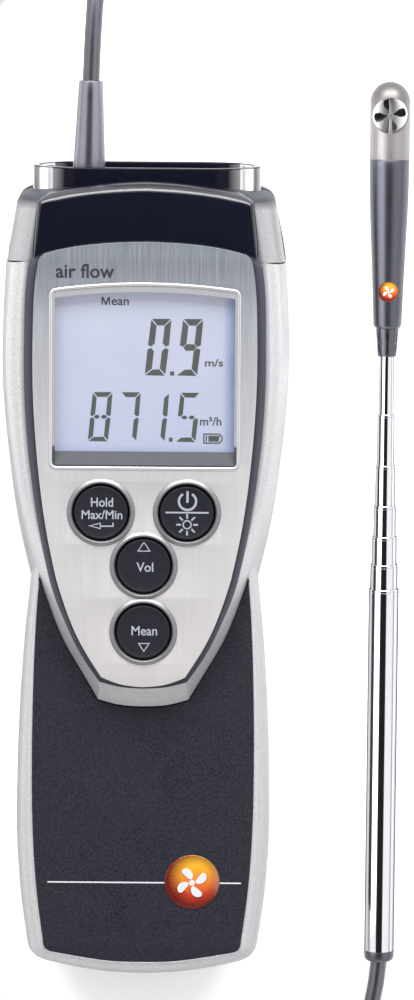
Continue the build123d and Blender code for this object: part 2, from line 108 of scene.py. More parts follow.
def arithmetic(tree, operation, *values):
    """The output of one Math node."""
    node = tree.nodes.new("ShaderNodeMath")
    node.operation = operation
    for socket, value in zip(node.inputs, values):
        feed(tree, socket, value)
    return node.outputs[0]


def map_range(tree, source, low, high, a, b, smooth=False):
    """Map source from low..high to a..b, clamped."""
    node = tree.nodes.new("ShaderNodeMapRange")
    if smooth:
        node.interpolation_type = "SMOOTHSTEP"
    for key, value in (("From Min", low), ("From Max", high), ("To Min", a), ("To Max", b),
                       ("Value", source)):
        feed(tree, node.inputs[key], value)
    return node.outputs["Result"]


class Nodes:
    """A short way to write a material's node tree."""

    def __init__(self, name):
        self.material = bpy.data.materials.new(name)
        self.material.use_nodes = True
        self.tree = self.material.node_tree
        self.shader = self.tree.nodes["Principled BSDF"]
        self.coords = self.add("ShaderNodeTexCoord").outputs["Object"]

    def add(self, kind, **values):
        node = self.tree.nodes.new(kind)
        for key, value in values.items():
            if hasattr(node, key):
                setattr(node, key, value)
            else:
                node.inputs[key].default_value = value
        return node

    def link(self, a, b):
        self.tree.links.new(a, b)

    def fix(self, key, value):
        """Set one of the shader's own values."""
        self.shader.inputs[key].default_value = value

    def drive(self, key, source):
        """Let a socket vary one of the shader's inputs."""
        self.link(source, self.shader.inputs[key])

    def math(self, operation, *values):
        return arithmetic(self.tree, operation, *values)

    def noise(self, size, stretch=(1, 1, 1), detail=3.0, roughness=0.6):
        """Noise whose features are about size millimetres."""
        mapping = self.add("ShaderNodeMapping")
        mapping.inputs["Scale"].default_value = [s / (size * MM) for s in stretch]
        self.link(self.coords, mapping.inputs["Vector"])
        node = self.add("ShaderNodeTexNoise")
        node.inputs["Scale"].default_value = 1.0
        node.inputs["Detail"].default_value = detail
        node.inputs["Roughness"].default_value = roughness
        self.link(mapping.outputs["Vector"], node.inputs["Vector"])
        return node.outputs["Fac"]

    def ramp(self, source, low, high, a, b):
        """Map source from low..high to a..b, clamped."""
        return map_range(self.tree, source, low, high, a, b)

    def mix(self, factor, a, b):
        """Mix two colours, each a triple or a socket."""
        node = self.add("ShaderNodeMix", data_type="RGBA")
        self.link(factor, node.inputs["Factor"])
        for name, value in (("A", a), ("B", b)):
            socket = [s for s in node.inputs if s.name == name and s.type == "RGBA"][0]
            feed(self.tree, socket, value)
        return [s for s in node.outputs if s.type == "RGBA"][0]

    def speckled(self, noise, a, b):
        """Two colours scattered by a noise."""
        return self.mix(self.ramp(noise, 0.3, 0.7, 0.0, 1.0), a, b)

    def gloss(self, noise, low, high):
        """Roughness that wanders from low to high with a noise."""
        self.drive("Roughness", self.ramp(noise, 0.3, 0.7, low, high))

    def bump(self, height, depth):
        """Bump of about depth millimetres."""
        node = self.add("ShaderNodeBump")
        node.inputs["Distance"].default_value = depth * MM
        node.inputs["Strength"].default_value = 1.0
        self.link(height, node.inputs["Height"])
        self.link(node.outputs["Normal"], self.shader.inputs["Normal"])

    def axis(self, index):
        """One object coordinate, in metres."""
        node = self.add("ShaderNodeSeparateXYZ")
        self.link(self.coords, node.inputs[0])
        return node.outputs[index]


def finish_of(name, base, rough, metal=0.0, tint=0.12, grain=0.4, stretch=(1, 1, 1), depth=0.01,
              cloud=14.0, rough_spread=0.08, spec=0.5):
    """A finish with fine grain, slow colour drift, uneven gloss and a little relief."""
    n = Nodes(name)
    fine = n.noise(grain, stretch)
    slow = n.noise(cloud, (1, 1, 1), 2.0)
    dark = tuple(c * (1 - tint) for c in base)
    light = tuple(min(1.0, c * (1 + tint)) for c in base)
    colour = n.speckled(fine, dark, light)
    drift = tuple(min(1.0, c * 0.93) for c in base)
    colour = n.mix(n.ramp(slow, 0.35, 0.75, 0.0, 0.35), colour, drift)
    n.drive("Base Color", colour)
    n.gloss(slow, rough - rough_spread, rough + rough_spread)
    n.fix("Metallic", metal)
    n.fix("Specular IOR Level", spec)
    n.bump(fine, depth)
    return n.material


DARK = finish_of("dark_grain", (0.0072, 0.0077, 0.0128), 0.6, 0.0, 0.85, 0.46, depth=0.08, cloud=12,
                 spec=0.2)
INLAY = finish_of("dark_inlay", (0.0014, 0.0018, 0.0060), 0.24, 0.0, 0.5, 0.42, depth=0.02,
                  cloud=12, spec=0.5, rough_spread=0.01)
REAR = finish_of("dark_rear", (0.030, 0.032, 0.042), 0.6, 0.0, 0.25, 0.5, depth=0.03, cloud=16)
TUBE = finish_of("polished_tube", (0.475, 0.475, 0.497), 0.08, 1.0, 0.03, 0.12, (1, 0.06, 1),
                 depth=0.0005, rough_spread=0.02, cloud=9)
TUBE.node_tree.nodes["Principled BSDF"].inputs["Specular Tint"].default_value = (0, 0, 0.02, 1)
KEY = finish_of("key_rubber", (0.005, 0.005, 0.009), 0.6, 0.0, 0.6, 0.3, depth=0.03, cloud=5,
                spec=0.18)
HANDLE = finish_of("grip_plastic", (0.082, 0.084, 0.098), 0.36, 1.0, 0.16, 0.3, depth=0.010,
                   cloud=8, rough_spread=0.02)
CABLE = finish_of("cable_rubber", (0.105, 0.108, 0.122), 0.36, 1.0, 0.1, 0.4, depth=0.004,
                  cloud=8, rough_spread=0.04)
BOOT = finish_of("boot_rubber", (0.190, 0.192, 0.220), 0.30, 1.0, 0.1, 0.4, depth=0.003, cloud=6,
                 rough_spread=0.03)
BLACK = finish_of("matt_black", (0.010, 0.010, 0.016), 0.5, 0.0, 0.3, 0.5, depth=0.01, cloud=8)
BOARD = finish_of("board_green", (0.02, 0.12, 0.05), 0.35, 0.0, 0.2, 1.5, depth=0.004, cloud=9)
MAT = finish_of("silicone_mat", (0.45, 0.46, 0.48), 0.55, 0.0, 0.08, 0.6, depth=0.01, cloud=9)
ZINC = finish_of("zinc_screw", (0.62, 0.62, 0.63), 0.3, 1.0, 0.1, 0.2, depth=0.004, cloud=3)
WHITE_PLASTIC = finish_of("white_diffuser", (0.7, 0.71, 0.75), 0.4, 0.0, 0.04, 0.8, depth=0.004)
CELL = finish_of("battery_case", (0.035, 0.035, 0.04), 0.35, 0.3, 0.15, 1.0, depth=0.004)
LEAD = finish_of("red_lead", (0.35, 0.015, 0.015), 0.45, 0.0, 0.15, 0.4, depth=0.006)
COPPER = finish_of("copper_winding", (0.62, 0.28, 0.14), 0.35, 1.0, 0.2, 0.15, depth=0.01)
BLADE = finish_of("blade_plastic", (0.022, 0.018, 0.020), 0.32, 0.0, 0.25, 0.3, depth=0.004,
                  cloud=3)
WHITE_INK = finish_of("white_ink", (0.38, 0.38, 0.40), 0.45, 0.0, 0.04, 0.2, depth=0.001)
BLACK_INK = finish_of("black_ink", (0.010, 0.012, 0.018), 0.45, 0.0, 0.2, 0.2, depth=0.001)
SEGMENT = finish_of("display_segment", (0.042, 0.046, 0.042), 0.35, 0.0, 0.12, 0.8, depth=0.0005)


def silver_finish(name, head=False):
    """Silver paint with fine flake; painted shade darkens it low down and beside the face, and it
    is darker on the head's end.
    """
    n = Nodes(name)
    flake = n.noise(0.30)
    # Painted light and shade: one silver paint, painted brighter on the body and darker on the
    # head.
    shade = 0.72 if head else 1.08
    dull, bright = [tuple(shade * c for c in tone) for tone in
                    ((0.262, 0.258, 0.268), (0.395, 0.391, 0.404))]
    colour = n.speckled(flake, dull, bright)
    height, along = n.axis(2), n.axis(1)
    # Painted shade: the silver darkens low down, where less light falls from above.
    low = n.ramp(height, 34.5 * MM, 22.5 * MM, 0.0, 1.0)
    colour = n.mix(low, colour, tuple(0.52 * c for c in dull))
    # Painted shade: the silver darkens just below the face, beside the dark surround.
    face_side_painted_shade = n.ramp(height, 36.9 * MM, 37.6 * MM, 0.0, 0.92)
    if not head:
        upper = n.ramp(along, -16 * MM, 4 * MM, 0.0, 1.0)
        face_side_painted_shade = n.math("MULTIPLY", face_side_painted_shade, upper)
    colour = n.mix(face_side_painted_shade, colour, (0.045, 0.048, 0.066))
    if head:
        end = n.ramp(along, 73.8 * MM, 76.0 * MM, 0.0, 0.95)
        colour = n.mix(end, colour, (0.013, 0.015, 0.022))
        n.drive("Metallic", n.ramp(end, 0.0, 0.95, 0.45, 0.0))
        n.drive("Roughness", n.ramp(end, 0.0, 0.95, 0.38, 0.60))
    else:
        n.fix("Metallic", 0.45)
        n.gloss(n.noise(20.0, (1, 1, 1), 2.0), 0.34, 0.44)
    n.drive("Base Color", colour)
    n.fix("Specular IOR Level", 0.2)
    n.bump(flake, 0.008)
    return n.material


def plate_finish():
    """Vertically brushed metal, with a painted reflection that makes it cooler and darker toward
    the head.
    """
    n = Nodes("brushed_plate")
    fine = n.noise(0.16, (1, 0.012, 1), 4.0, 0.7)
    broad = n.noise(1.6, (1, 0.02, 1), 2.0)
    along = n.axis(1)
    # Painted reflection: the colour turns cooler and darker toward the head, as a dark overhead
    # would mirror in it.
    low = n.mix(n.ramp(along, -34 * MM, 18 * MM, 0.0, 1.0), (0.375, 0.357, 0.360),
                (0.330, 0.322, 0.330))
    high = n.mix(n.ramp(along, 50 * MM, 67 * MM, 0.0, 1.0), (0.150, 0.165, 0.190),
                 (0.068, 0.080, 0.100))
    base = n.mix(n.ramp(along, 12 * MM, 60 * MM, 0.0, 1.0), low, high)
    lined = n.mix(n.ramp(fine, 0.35, 0.68, 0.0, 0.18), base, (0.50, 0.49, 0.50))
    dull = n.mix(n.ramp(broad, 0.45, 0.7, 0.0, 0.06), lined, (0.20, 0.20, 0.22))
    n.drive("Base Color", dull)
    n.gloss(fine, 0.36, 0.52)
    n.fix("Metallic", 0.35)
    n.bump(fine, 0.0012)
    return n.material


def surround_finish():
    """Dark satin edge with painted shade: black toward the plate, lighter at its outer edge."""
    n = Nodes("dark_surround")
    edge = n.add("ShaderNodeAttribute", attribute_name="inward").outputs["Fac"]
    fine = n.noise(0.4)
    deep = n.speckled(fine, (0.016, 0.0175, 0.027), (0.027, 0.029, 0.042))
    # Painted shade: the edge turns black toward the plate and stays lighter at its outer edge where
    # light falls.
    colour = n.mix(n.ramp(edge, 0.35, 1.0, 0.0, 0.85), deep, (0.004, 0.005, 0.010))
    n.drive("Base Color", colour)
    n.gloss(fine, 0.45, 0.6)
    n.fix("Specular IOR Level", 0.3)
    n.bump(fine, 0.006)
    return n.material


def display_finish():
    """Pale display that turns bluer toward its right and lower edges, and glows with painted light.
    """
    n = Nodes("display_glass")
    low, high = mm_box("lcd_lens")
    x, y = n.axis(0), n.axis(1)
    pale = n.mix(n.ramp(y, low[1] * MM, high[1] * MM, 0.0, 1.0), (0.150, 0.160, 0.212),
                 (0.165, 0.173, 0.211))
    blue = n.mix(n.ramp(x, (high[0] - 3.2) * MM, (high[0] - 0.7) * MM, 0.0, 0.85), pale,
                 (0.068, 0.086, 0.160))
    foot = n.mix(n.ramp(y, (low[1] + 4.5) * MM, (low[1] + 2.4) * MM, 0.0, 0.55), blue,
                 (0.10, 0.114, 0.185))
    slow = n.noise(9.0)
    colour = n.mix(n.ramp(slow, 0.35, 0.7, 0.0, 0.2), foot, (0.18, 0.19, 0.22))
    n.drive("Base Color", colour)
    # Painted light: the display glows with its own colour, which brightens it like light falling on
    # it.
    n.drive("Emission Color", colour)
    n.fix("Emission Strength", 1.25)
    n.gloss(slow, 0.16, 0.24)
    n.bump(n.noise(0.3), 0.0006)
    return n.material


def steel_finish():
    """Satin steel of the vane head, with painted shade darkening it toward its rounded tip."""
    n = Nodes("satin_steel")
    fine = n.noise(0.10, (1, 0.05, 1))
    slow = n.noise(6.0)
    colour = n.speckled(fine, (0.200, 0.189, 0.187), (0.240, 0.227, 0.225))
    # Painted shade: darker toward the rounded tip, which tones down the top light's highlight
    # there.
    colour = n.mix(n.ramp(n.axis(1), 93 * MM, 101.5 * MM, 0.0, 0.88), colour, (0.050, 0.047, 0.047))
    n.drive("Base Color", colour)
    n.gloss(slow, 0.40, 0.48)
    n.fix("Metallic", 0.8)
    n.fix("Specular IOR Level", 0.2)
    n.bump(fine, 0.002)
    return n.material


def bezel_finish():
    """Black ring with a painted reflection: bright metal colour painted on its rounded ends."""
    n = Nodes("socket_ring_gloss")
    aside = n.math("ABSOLUTE", n.math("ADD", n.axis(0), -XC * MM))
    # Painted reflection: a bright metal band painted across the ring's rounded ends.
    painted_reflection = n.math("ADD", n.ramp(aside, 18.0 * MM, 20.6 * MM, 0.0, 0.16),
                   n.ramp(aside, 20.6 * MM, 20.9 * MM, 0.0, 0.84))
    trimmed = n.math("MULTIPLY", painted_reflection, n.ramp(aside, 23.0 * MM, 23.9 * MM, 1.0, 0.14))
    rim = mm_box("socket_bezel")[1][1]
    bright = n.math("MULTIPLY", trimmed,
                    n.ramp(n.axis(1), (rim - 0.5) * MM, (rim - 0.2) * MM, 1.0, 0.06))
    fine = n.noise(0.8)
    black = n.speckled(fine, (0.0025, 0.0026, 0.0055),
                  (0.0040, 0.0042, 0.0085))
    n.drive("Base Color", n.mix(bright, black, (0.74, 0.74, 0.76)))
    n.drive("Metallic", bright)
    n.drive("Specular IOR Level", n.ramp(bright, 0.0, 1.0, 0.04, 0.5))
    n.gloss(fine, 0.10, 0.16)
    n.bump(fine, 0.0006)
    return n.material


def enamel_finish():
    """Warm badge enamel: yellow at the top, red at the sides and foot."""
    n = Nodes("badge_enamel")
    up = n.add("ShaderNodeAttribute", attribute_name="up").outputs["Fac"]
    out = n.add("ShaderNodeAttribute", attribute_name="out").outputs["Fac"]
    warm = n.mix(n.ramp(up, 0.30, 0.85, 0.0, 1.0), (0.36, 0.030, 0.012), (0.42, 0.235, 0.014))
    rim = n.mix(n.ramp(out, 0.50, 0.98, 0.0, 1.0), warm, (0.060, 0.002, 0.004))
    fine = n.noise(0.5)
    colour = n.mix(n.ramp(fine, 0.3, 0.7, 0.0, 0.08), rim, (0.5, 0.17, 0.06))
    n.drive("Base Color", colour)
    n.gloss(fine, 0.12, 0.2)
    n.fix("Coat Weight", 0.6)
    n.bump(fine, 0.001)
    return n.material


def floor_finish():
    """Pale matt studio paper."""
    n = Nodes("studio_paper")
    fine = n.noise(3.0)
    n.drive("Base Color", n.mix(fine, (0.86, 0.86, 0.86), (0.89, 0.89, 0.89)))
    n.fix("Roughness", 0.9)
    n.fix("Specular IOR Level", 0.1)
    n.bump(fine, 0.005)
    return n.material


SILVER = silver_finish("silver_paint")
SILVER_HEAD = silver_finish("silver_paint_head", True)
PLATE = plate_finish()
SURROUND = surround_finish()
DISPLAY = display_finish()
ENAMEL = enamel_finish()
BLACK_RING_PAINTED_SHINE = bezel_finish()
STEEL = steel_finish()

# ---- geometry helpers ---------------------------------------------------------------------


@contextmanager
def editing(mesh):
    """Open a mesh for edits and write them back."""
    work = bmesh.new()
    work.from_mesh(mesh)
    yield work
    work.to_mesh(mesh)
    work.free()


def soften(mesh, degrees=32.0):
    """Smooth shading with edges sharper than an angle left crisp."""
    limit = math.radians(degrees)
    with editing(mesh) as work:
        for face in work.faces:
            face.smooth = True
        for e in work.edges:
            if len(e.link_faces) == 2:
                e.smooth = e.calc_face_angle(0.0) < limit


def weld(mesh, gap=1e-7):
    """Merge points that lie together."""
    with editing(mesh) as work:
        bmesh.ops.remove_doubles(work, verts=work.verts, dist=gap)


def add_object(name, mesh, material, body, slot, *replaces):
    """A piece that rides on a CAD body, in place of the CAD nodes it replaces, if any."""
    mesh.materials.clear()
    mesh.materials.append(material)
    obj = linked(name, mesh)
    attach(obj, body)
    if replaces:
        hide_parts(*replaces)


def mesh_of(name, points, faces, degrees=32.0):
    """A mesh from points in millimetres."""
    mesh = bpy.data.meshes.new(name)
    mesh.from_pydata([(x * MM, y * MM, z * MM) for x, y, z in points], [], faces)
    with editing(mesh) as work:
        bmesh.ops.recalc_face_normals(work, faces=work.faces)
    soften(mesh, degrees)
    return mesh


def spline(points, count):
    """A natural cubic curve through points, sampled evenly along its chord length."""
    p = np.array(points, float)
    if len(p) == 2:
        t = np.linspace(0, 1, count)[:, None]
        return p[0] * (1 - t) + p[1] * t
    s = np.concatenate([[0], np.cumsum(np.linalg.norm(np.diff(p, axis=0), axis=1))])
    h = np.diff(s)
    m = len(p)
    a = np.zeros((m, m))
    b = np.zeros((m, p.shape[1]))
    a[0, 0] = a[-1, -1] = 1
    for i in range(1, m - 1):
        a[i, i - 1], a[i, i], a[i, i + 1] = h[i - 1], 2 * (h[i - 1] + h[i]), h[i]
        b[i] = 6 * ((p[i + 1] - p[i]) / h[i] - (p[i] - p[i - 1]) / h[i - 1])
    c = np.linalg.solve(a, b)
    out = []
    for x in np.linspace(0, s[-1], count):
        i = min(int(np.searchsorted(s, x, side="right")) - 1, m - 2)
        u, v = s[i + 1] - x, x - s[i]
        out.append(c[i] * u ** 3 / (6 * h[i]) + c[i + 1] * v ** 3 / (6 * h[i])
                   + (p[i] / h[i] - c[i] * h[i] / 6) * u
                   + (p[i + 1] / h[i] - c[i + 1] * h[i] / 6) * v)
    return np.array(out)


def half_loop(*runs):
    """Right half of an outline from its runs, each (points, count), bottom centre to top."""
    parts = []
    for i, (points, count) in enumerate(runs):
        sampled = spline(points, count)
        parts.append(sampled if i == 0 else sampled[1:])
    return np.vstack(parts)


def whole(half):
    """Close a right half outline by mirroring it; both its ends lie on the centre line."""
    mirrored = half[::-1][1:-1] * np.array([-1, 1])
    return np.vstack([half, mirrored])


def outline_of(runs, counts):
    """Whole outline from the runs of its right half and the points in each."""
    return whole(half_loop(*zip(runs, counts)))


def loft_mesh(name, rings, closed=False, degrees=32.0):
    """Skin a stack of rings of (x, y, z) points: capped, or closed into a loop."""
    count = len(rings[0])
    points = [tuple(p) for ring in rings for p in ring]
    faces = []
    last = len(rings) if closed else len(rings) - 1
    for i in range(last):
        a, b = i * count, ((i + 1) % len(rings)) * count
        for k in range(count):
            j = (k + 1) % count
            faces.append((a + k, a + j, b + j, b + k))
    if not closed:
        faces.append(tuple(reversed(range(count))))
        faces.append(tuple(range((len(rings) - 1) * count, len(rings) * count)))
    return mesh_of(name, points, faces, degrees)


def level(loop, z):
    """Lift a 2-D outline (u, y) to height z."""
    return [(XC + u, y, z) for u, y in loop]


def evaluated(obj):
    """An object's mesh once its curve bevels or modifiers are worked out."""
    bpy.context.view_layer.update()
    return bpy.data.meshes.new_from_object(
        obj.evaluated_get(bpy.context.evaluated_depsgraph_get()))


def mesh_of_curve(curve):
    """The mesh of a curve or of lettering."""
    holder = linked("holder", curve)
    mesh = evaluated(holder)
    bpy.data.objects.remove(holder)
    return mesh


def boolean(mesh, other, operation="DIFFERENCE"):
    """An exact boolean of two meshes."""
    target, tool = linked("target", mesh), linked("tool", other)
    modifier = target.modifiers.new("cut", "BOOLEAN")
    modifier.operation = operation
    modifier.solver = "EXACT"
    modifier.object = tool
    result = evaluated(target)
    for obj in (target, tool):
        bpy.data.objects.remove(obj)
    return result


def mended(mesh):
    """Drop stray flaps and slivers that a boolean left, and mend the gaps."""
    tiny = 2e-7
    with editing(mesh) as work:
        bmesh.ops.remove_doubles(work, verts=work.verts, dist=tiny)
        bmesh.ops.dissolve_degenerate(work, edges=work.edges, dist=tiny)
        for _ in range(8):
            flaps = [f for f in work.faces
                     if any(len(e.link_faces) == 1 for e in f.edges)
                     and any(len(e.link_faces) > 2 for e in f.edges)]
            if not flaps:
                break
            bmesh.ops.delete(work, geom=flaps, context="FACES")
        gaps = [e for e in work.edges if len(e.link_faces) == 1]
        if gaps:
            bmesh.ops.holes_fill(work, edges=gaps, sides=0)
        bare = [e for e in work.edges if not e.link_faces]
        bmesh.ops.delete(work, geom=bare, context="EDGES")
        bmesh.ops.recalc_face_normals(work, faces=work.faces)
    mesh.validate()


def circle(cx, cy, r, count=64):
    """Points of a circle as (u, y)."""
    return [(cx + r * math.cos(2 * math.pi * k / count), cy + r * math.sin(2 * math.pi * k / count))
            for k in range(count)]


def arc_points(cx, cy, r, a0, a1, count):
    """Points along an arc, in degrees."""
    return [(cx + r * math.cos(math.radians(a0 + (a1 - a0) * k / count)),
             cy + r * math.sin(math.radians(a0 + (a1 - a0) * k / count)))
            for k in range(count + 1)]


def flat_mesh(name, loops, z0, z1, bevel=0.05, steps=2, degrees=32.0):
    """A flat piece with holes, from closed loops of (u, y), with rounded edges."""
    curve = bpy.data.curves.new(name, "CURVE")
    curve.dimensions = "2D"
    curve.fill_mode = "BOTH"
    for loop in loops:
        s = curve.splines.new("POLY")
        s.points.add(len(loop) - 1)
        for point, (u, y) in zip(s.points, loop):
            point.co = ((XC + u) * MM, y * MM, 0, 1)
        s.use_cyclic_u = True
    curve.extrude = ((z1 - z0) / 2 - bevel) * MM
    curve.bevel_depth = bevel * MM
    curve.bevel_resolution = steps
    curve.offset = -bevel * MM
    mesh = mesh_of_curve(curve)
    mesh.transform(Matrix.Translation((0, 0, (z0 + z1) / 2 * MM)))
    weld(mesh)
    soften(mesh, degrees)
    return mesh


def turned(name, profile, place, count=72, degrees=32.0):
    """A solid of revolution about local Z from (z, r) points, moved by place."""
    hollow = profile[0] != profile[-1] and profile[0][1] > 0.001 and profile[-1][1] > 0.001
    points, faces, index = [], [], []
    for z, r in profile:
        if r <= 0.001:
            index.append([len(points)] * count)
            points.append((0, 0, z))
        else:
            index.append(list(range(len(points), len(points) + count)))
            points.extend((x, y, z) for x, y in circle(0, 0, r, count))
    pairs = list(zip(index, index[1:]))
    if hollow:
        pairs.append((index[-1], index[0]))
    for a, b in pairs:
        for k in range(count):
            j = (k + 1) % count
            face = [a[k], a[j], b[j], b[k]]
            face = [v for i, v in enumerate(face) if v not in face[:i]]
            if len(face) > 2:
                faces.append(tuple(face))
    mesh = mesh_of(name, points, faces, degrees)
    mesh.transform(place)
    return mesh


def upright(x, y):
    """Place a turned piece on a vertical axis, in millimetres."""
    return Matrix.Translation((x * MM, y * MM, 0))


PROBE_AXIS = Matrix.Translation((PX * MM, 0, PZ * MM)) @ Matrix.Rotation(-math.pi / 2, 4, "X")


def joined(name, meshes):
    """Join meshes into one."""
    work = bmesh.new()
    for mesh in meshes:
        work.from_mesh(mesh)
    out = bpy.data.meshes.new(name)
    work.to_mesh(out)
    work.free()
    return out


def paint(node, material):
    """Give a carried-over CAD node its finish."""
    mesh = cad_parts[node].data
    mesh.materials.clear()
    mesh.materials.append(material)


# ---- cable ----------------------------------------------------------------------------------
CORD_D = 3.8
COIL_X, COIL_Y = -8.0, 155.0
UPPER_ROUTE = [(-26.05, 101.74, 21.6), (-25.5, 119.0, 21.4), (-23.6, 134.0, 13.5),
               (-26.0, 150.0, 5.8)]
LOWER_ROUTE = [(-17.0, 131.4, 1.95), (-36.0, 133.0, 1.95), (-51.0, 119.0, 1.95),
               (-57.5, 96.0, 1.95), (-58.2, 66.0, 1.95), (-56.3, 30.0, 1.95),
               (-58.0, -15.0, 1.95), (-56.0, -55.0, 1.95), (-57.0, -90.0, 1.95),
               (-50.0, -116.0, 1.95), (-26.0, -130.0, 1.95), (2.0, -131.0, 1.95),
               (26.5, -132.5, 1.95), (39.7, -119.5, 3.1), (PX, -101.74, PZ)]
TURN_POINTS = 16
START_ANGLE, END_ANGLE = math.radians(165.0), math.radians(249.0)
TURNS = 7
total = TURNS * 2 * math.pi + (START_ANGLE - END_ANGLE) % (2 * math.pi)
steps = int(total / (2 * math.pi) * TURN_POINTS)
# The upper layer winds outward, then the lower layer winds in and out again.
radii = [18.2, 22.0, 25.8, 22.2, 18.4, 16.6, 20.3, 24.0, 26.3]
heights = [5.75] * 3 + [1.95] * 6
coil_points = []
for k in range(1, steps):
    done = total * k / steps
    lap = done / (2 * math.pi)
    i = min(int(lap), len(radii) - 2)
    blend = min(1.0, max(0.0, (lap - i - 0.6) / 0.4))
    blend = blend * blend * (3 - 2 * blend)
    radius = radii[i] * (1 - blend) + radii[i + 1] * blend
    height = heights[i] * (1 - blend) + heights[i + 1] * blend
    angle = START_ANGLE - done
    coil_points.append((COIL_X + radius * math.cos(angle), COIL_Y + radius * math.sin(angle),
                        height))
route = UPPER_ROUTE + coil_points + LOWER_ROUTE
curve = bpy.data.curves.new("cable", "CURVE")
curve.dimensions = "3D"
line = curve.splines.new("NURBS")
line.points.add(len(route) - 1)
for point, place in zip(line.points, route):
    point.co = (*(c * MM for c in place), 1.0)
line.order_u = 3
line.use_endpoint_u = True
line.resolution_u = 6
curve.bevel_depth = CORD_D / 2 * MM
curve.bevel_resolution = 6
curve.use_fill_caps = True
cable = linked("cable", curve)
curve.materials.append(CABLE)
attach(cable, "instrument")
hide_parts("cord_upper", "cord_coil", "cord_lower")

# ---- housing --------------------------------------------------------------------------------


def shifted(loop, d):
    """Move a closed anticlockwise outline inward by d along its normals."""
    p = np.asarray(loop, float)
    ahead = np.roll(p, -1, axis=0) - p
    behind = p - np.roll(p, 1, axis=0)
    t = ahead / np.linalg.norm(ahead, axis=1)[:, None]
    t = t + behind / np.linalg.norm(behind, axis=1)[:, None]
    t /= np.linalg.norm(t, axis=1)[:, None]
    return p + np.stack([-t[:, 1], t[:, 0]], axis=1) * d


def blended(a, b, t):
    """Part of the way from outline a to outline b."""
    return np.asarray(a) * (1 - t) + np.asarray(b) * t


LOW_COUNTS = (16, 14, 60, 6)
LOW_SEAM = [[(0, -99.5), (12, -98.8), (20, -97.2)],
            [(20, -97.2), (24.6, -94.6), (26.2, -90.5)],
            [(26.2, -90.5), (27.8, -78), (28.4, -62), (28.1, -46), (27.1, -28), (25.4, -9.5),
             (24.4, 2)], [(24.4, 2), (0, 2)]]
LOW_WIDE = [[(0, -100.0), (8.6, -99.5), (17.7, -98.0), (21.8, -97.0)],
            [(21.8, -97.0), (24.4, -95.9), (25.6, -94.6), (26.25, -92.2)],
            [(26.25, -92.2), (27.45, -83.5), (28.25, -74.2), (28.6, -65), (28.5, -55.8),
             (28.25, -46.5), (27.6, -32.8), (26.5, -19), (25.5, -9.5), (24.6, 2)],
            [(24.6, 2), (0, 2)]]
LOW_EDGE = [[(0, -95.8), (7.1, -95.6), (13.1, -94.8), (20.6, -93.5)],
            [(20.6, -93.5), (21.7, -92.9), (22.2, -92.1), (22.4, -90.6)],
            [(22.4, -90.6), (23.05, -86), (24.05, -77), (24.65, -67.6), (24.95, -54),
             (24.85, -40), (24.3, -22), (23.75, -13), (23.3, -8.0), (22.4, 2)],
            [(22.4, 2), (0, 2)]]
LOW_Z, WIDE_Z, EDGE_RISE = 16.0, 22.5, 10.4
seam, wide, edge = [outline_of(runs, LOW_COUNTS) for runs in (LOW_SEAM, LOW_WIDE, LOW_EDGE)]
rings = [level(seam, LOW_Z), level(blended(seam, wide, 0.7), 19.5), level(wide, WIDE_Z)]
for k in range(1, 13):
    angle = math.radians(90 * k / 12)
    rings.append(level(blended(wide, edge, (1 - math.cos(angle)) ** 1.05),
                       WIDE_Z + EDGE_RISE * math.sin(angle) ** 0.95))
rings.append(level(shifted(edge, 0.12), 32.82))
rings.append(level(shifted(edge, 0.14), 31.6))
lower_body = loft_mesh("lower_body", rings)

UP_COUNTS = (12, 30, 70, 8)
UP_WIDE = [[(0, -37), (5.8, -36.9), (10.5, -37)],
           [(10.5, -37), (18, -27), (22.5, -18), (25.3, -9.6)],
           [(25.3, -9.6), (27.4, -1), (29.1, 8), (30.5, 19), (31.6, 30), (32.0, 42), (31.7, 52),
            (31.2, 61.8)], [(31.2, 61.8), (0, 61.8)]]
UP_MID = [[(0, -37.1), (5.6, -36.7), (10.1, -35.5)],
          [(10.1, -35.5), (14.2, -28.4), (17.7, -22.2), (20.4, -15.7), (23.0, -8)],
          [(23.0, -8), (25.1, -1), (27.3, 8), (29.2, 19), (30.3, 30), (30.8, 42), (30.4, 52),
           (29.8, 61.8)], [(29.8, 61.8), (0, 61.8)]]
UP_TOP = [[(0, -32.3), (5.4, -31.9), (9.7, -30.8)],
          [(9.7, -30.8), (13.3, -25.6), (15.6, -21.4), (17.6, -17), (19.5, -12.4), (20.9, -8)],
          [(20.9, -8), (22.8, 0.9), (24.3, 9.9), (25.4, 18.8), (26.2, 27.7), (26.6, 38),
           (26.55, 47), (26.1, 58.6), (25.7, 61.8)], [(25.7, 61.8), (0, 61.8)]]
up_wide, up_mid, up_top = [outline_of(runs, UP_COUNTS) for runs in (UP_WIDE, UP_MID, UP_TOP)]
# How far each point takes the rounded shoulder: not at all on the V, fully along the sides.
start = UP_COUNTS[0] + UP_COUNTS[1] - 2
weight = np.zeros(len(up_wide))
for k in range(UP_COUNTS[2] + UP_COUNTS[3]):
    grown = min(1.0, k / 26)
    for index in (start + k, (len(up_wide) - start - k) % len(up_wide)):
        weight[index] = grown * grown * (3 - 2 * grown)
weight = weight[:, None]


def bent(a, b, c, t):
    """Point t along a quadratic curve from a through control b to c."""
    return (1 - t) ** 2 * a + 2 * t * (1 - t) * b + t * t * c


def lifted(loop, z):
    """Outline with its height as a third column."""
    return np.hstack([loop, np.full((len(loop), 1), float(z))])


def lean(ring, chosen):
    """Slant the split between body and head by moving its points toward the head."""
    ring[chosen, 1] += np.clip(31.2 - np.abs(ring[chosen, 0]), 0, 6.2) * 0.17


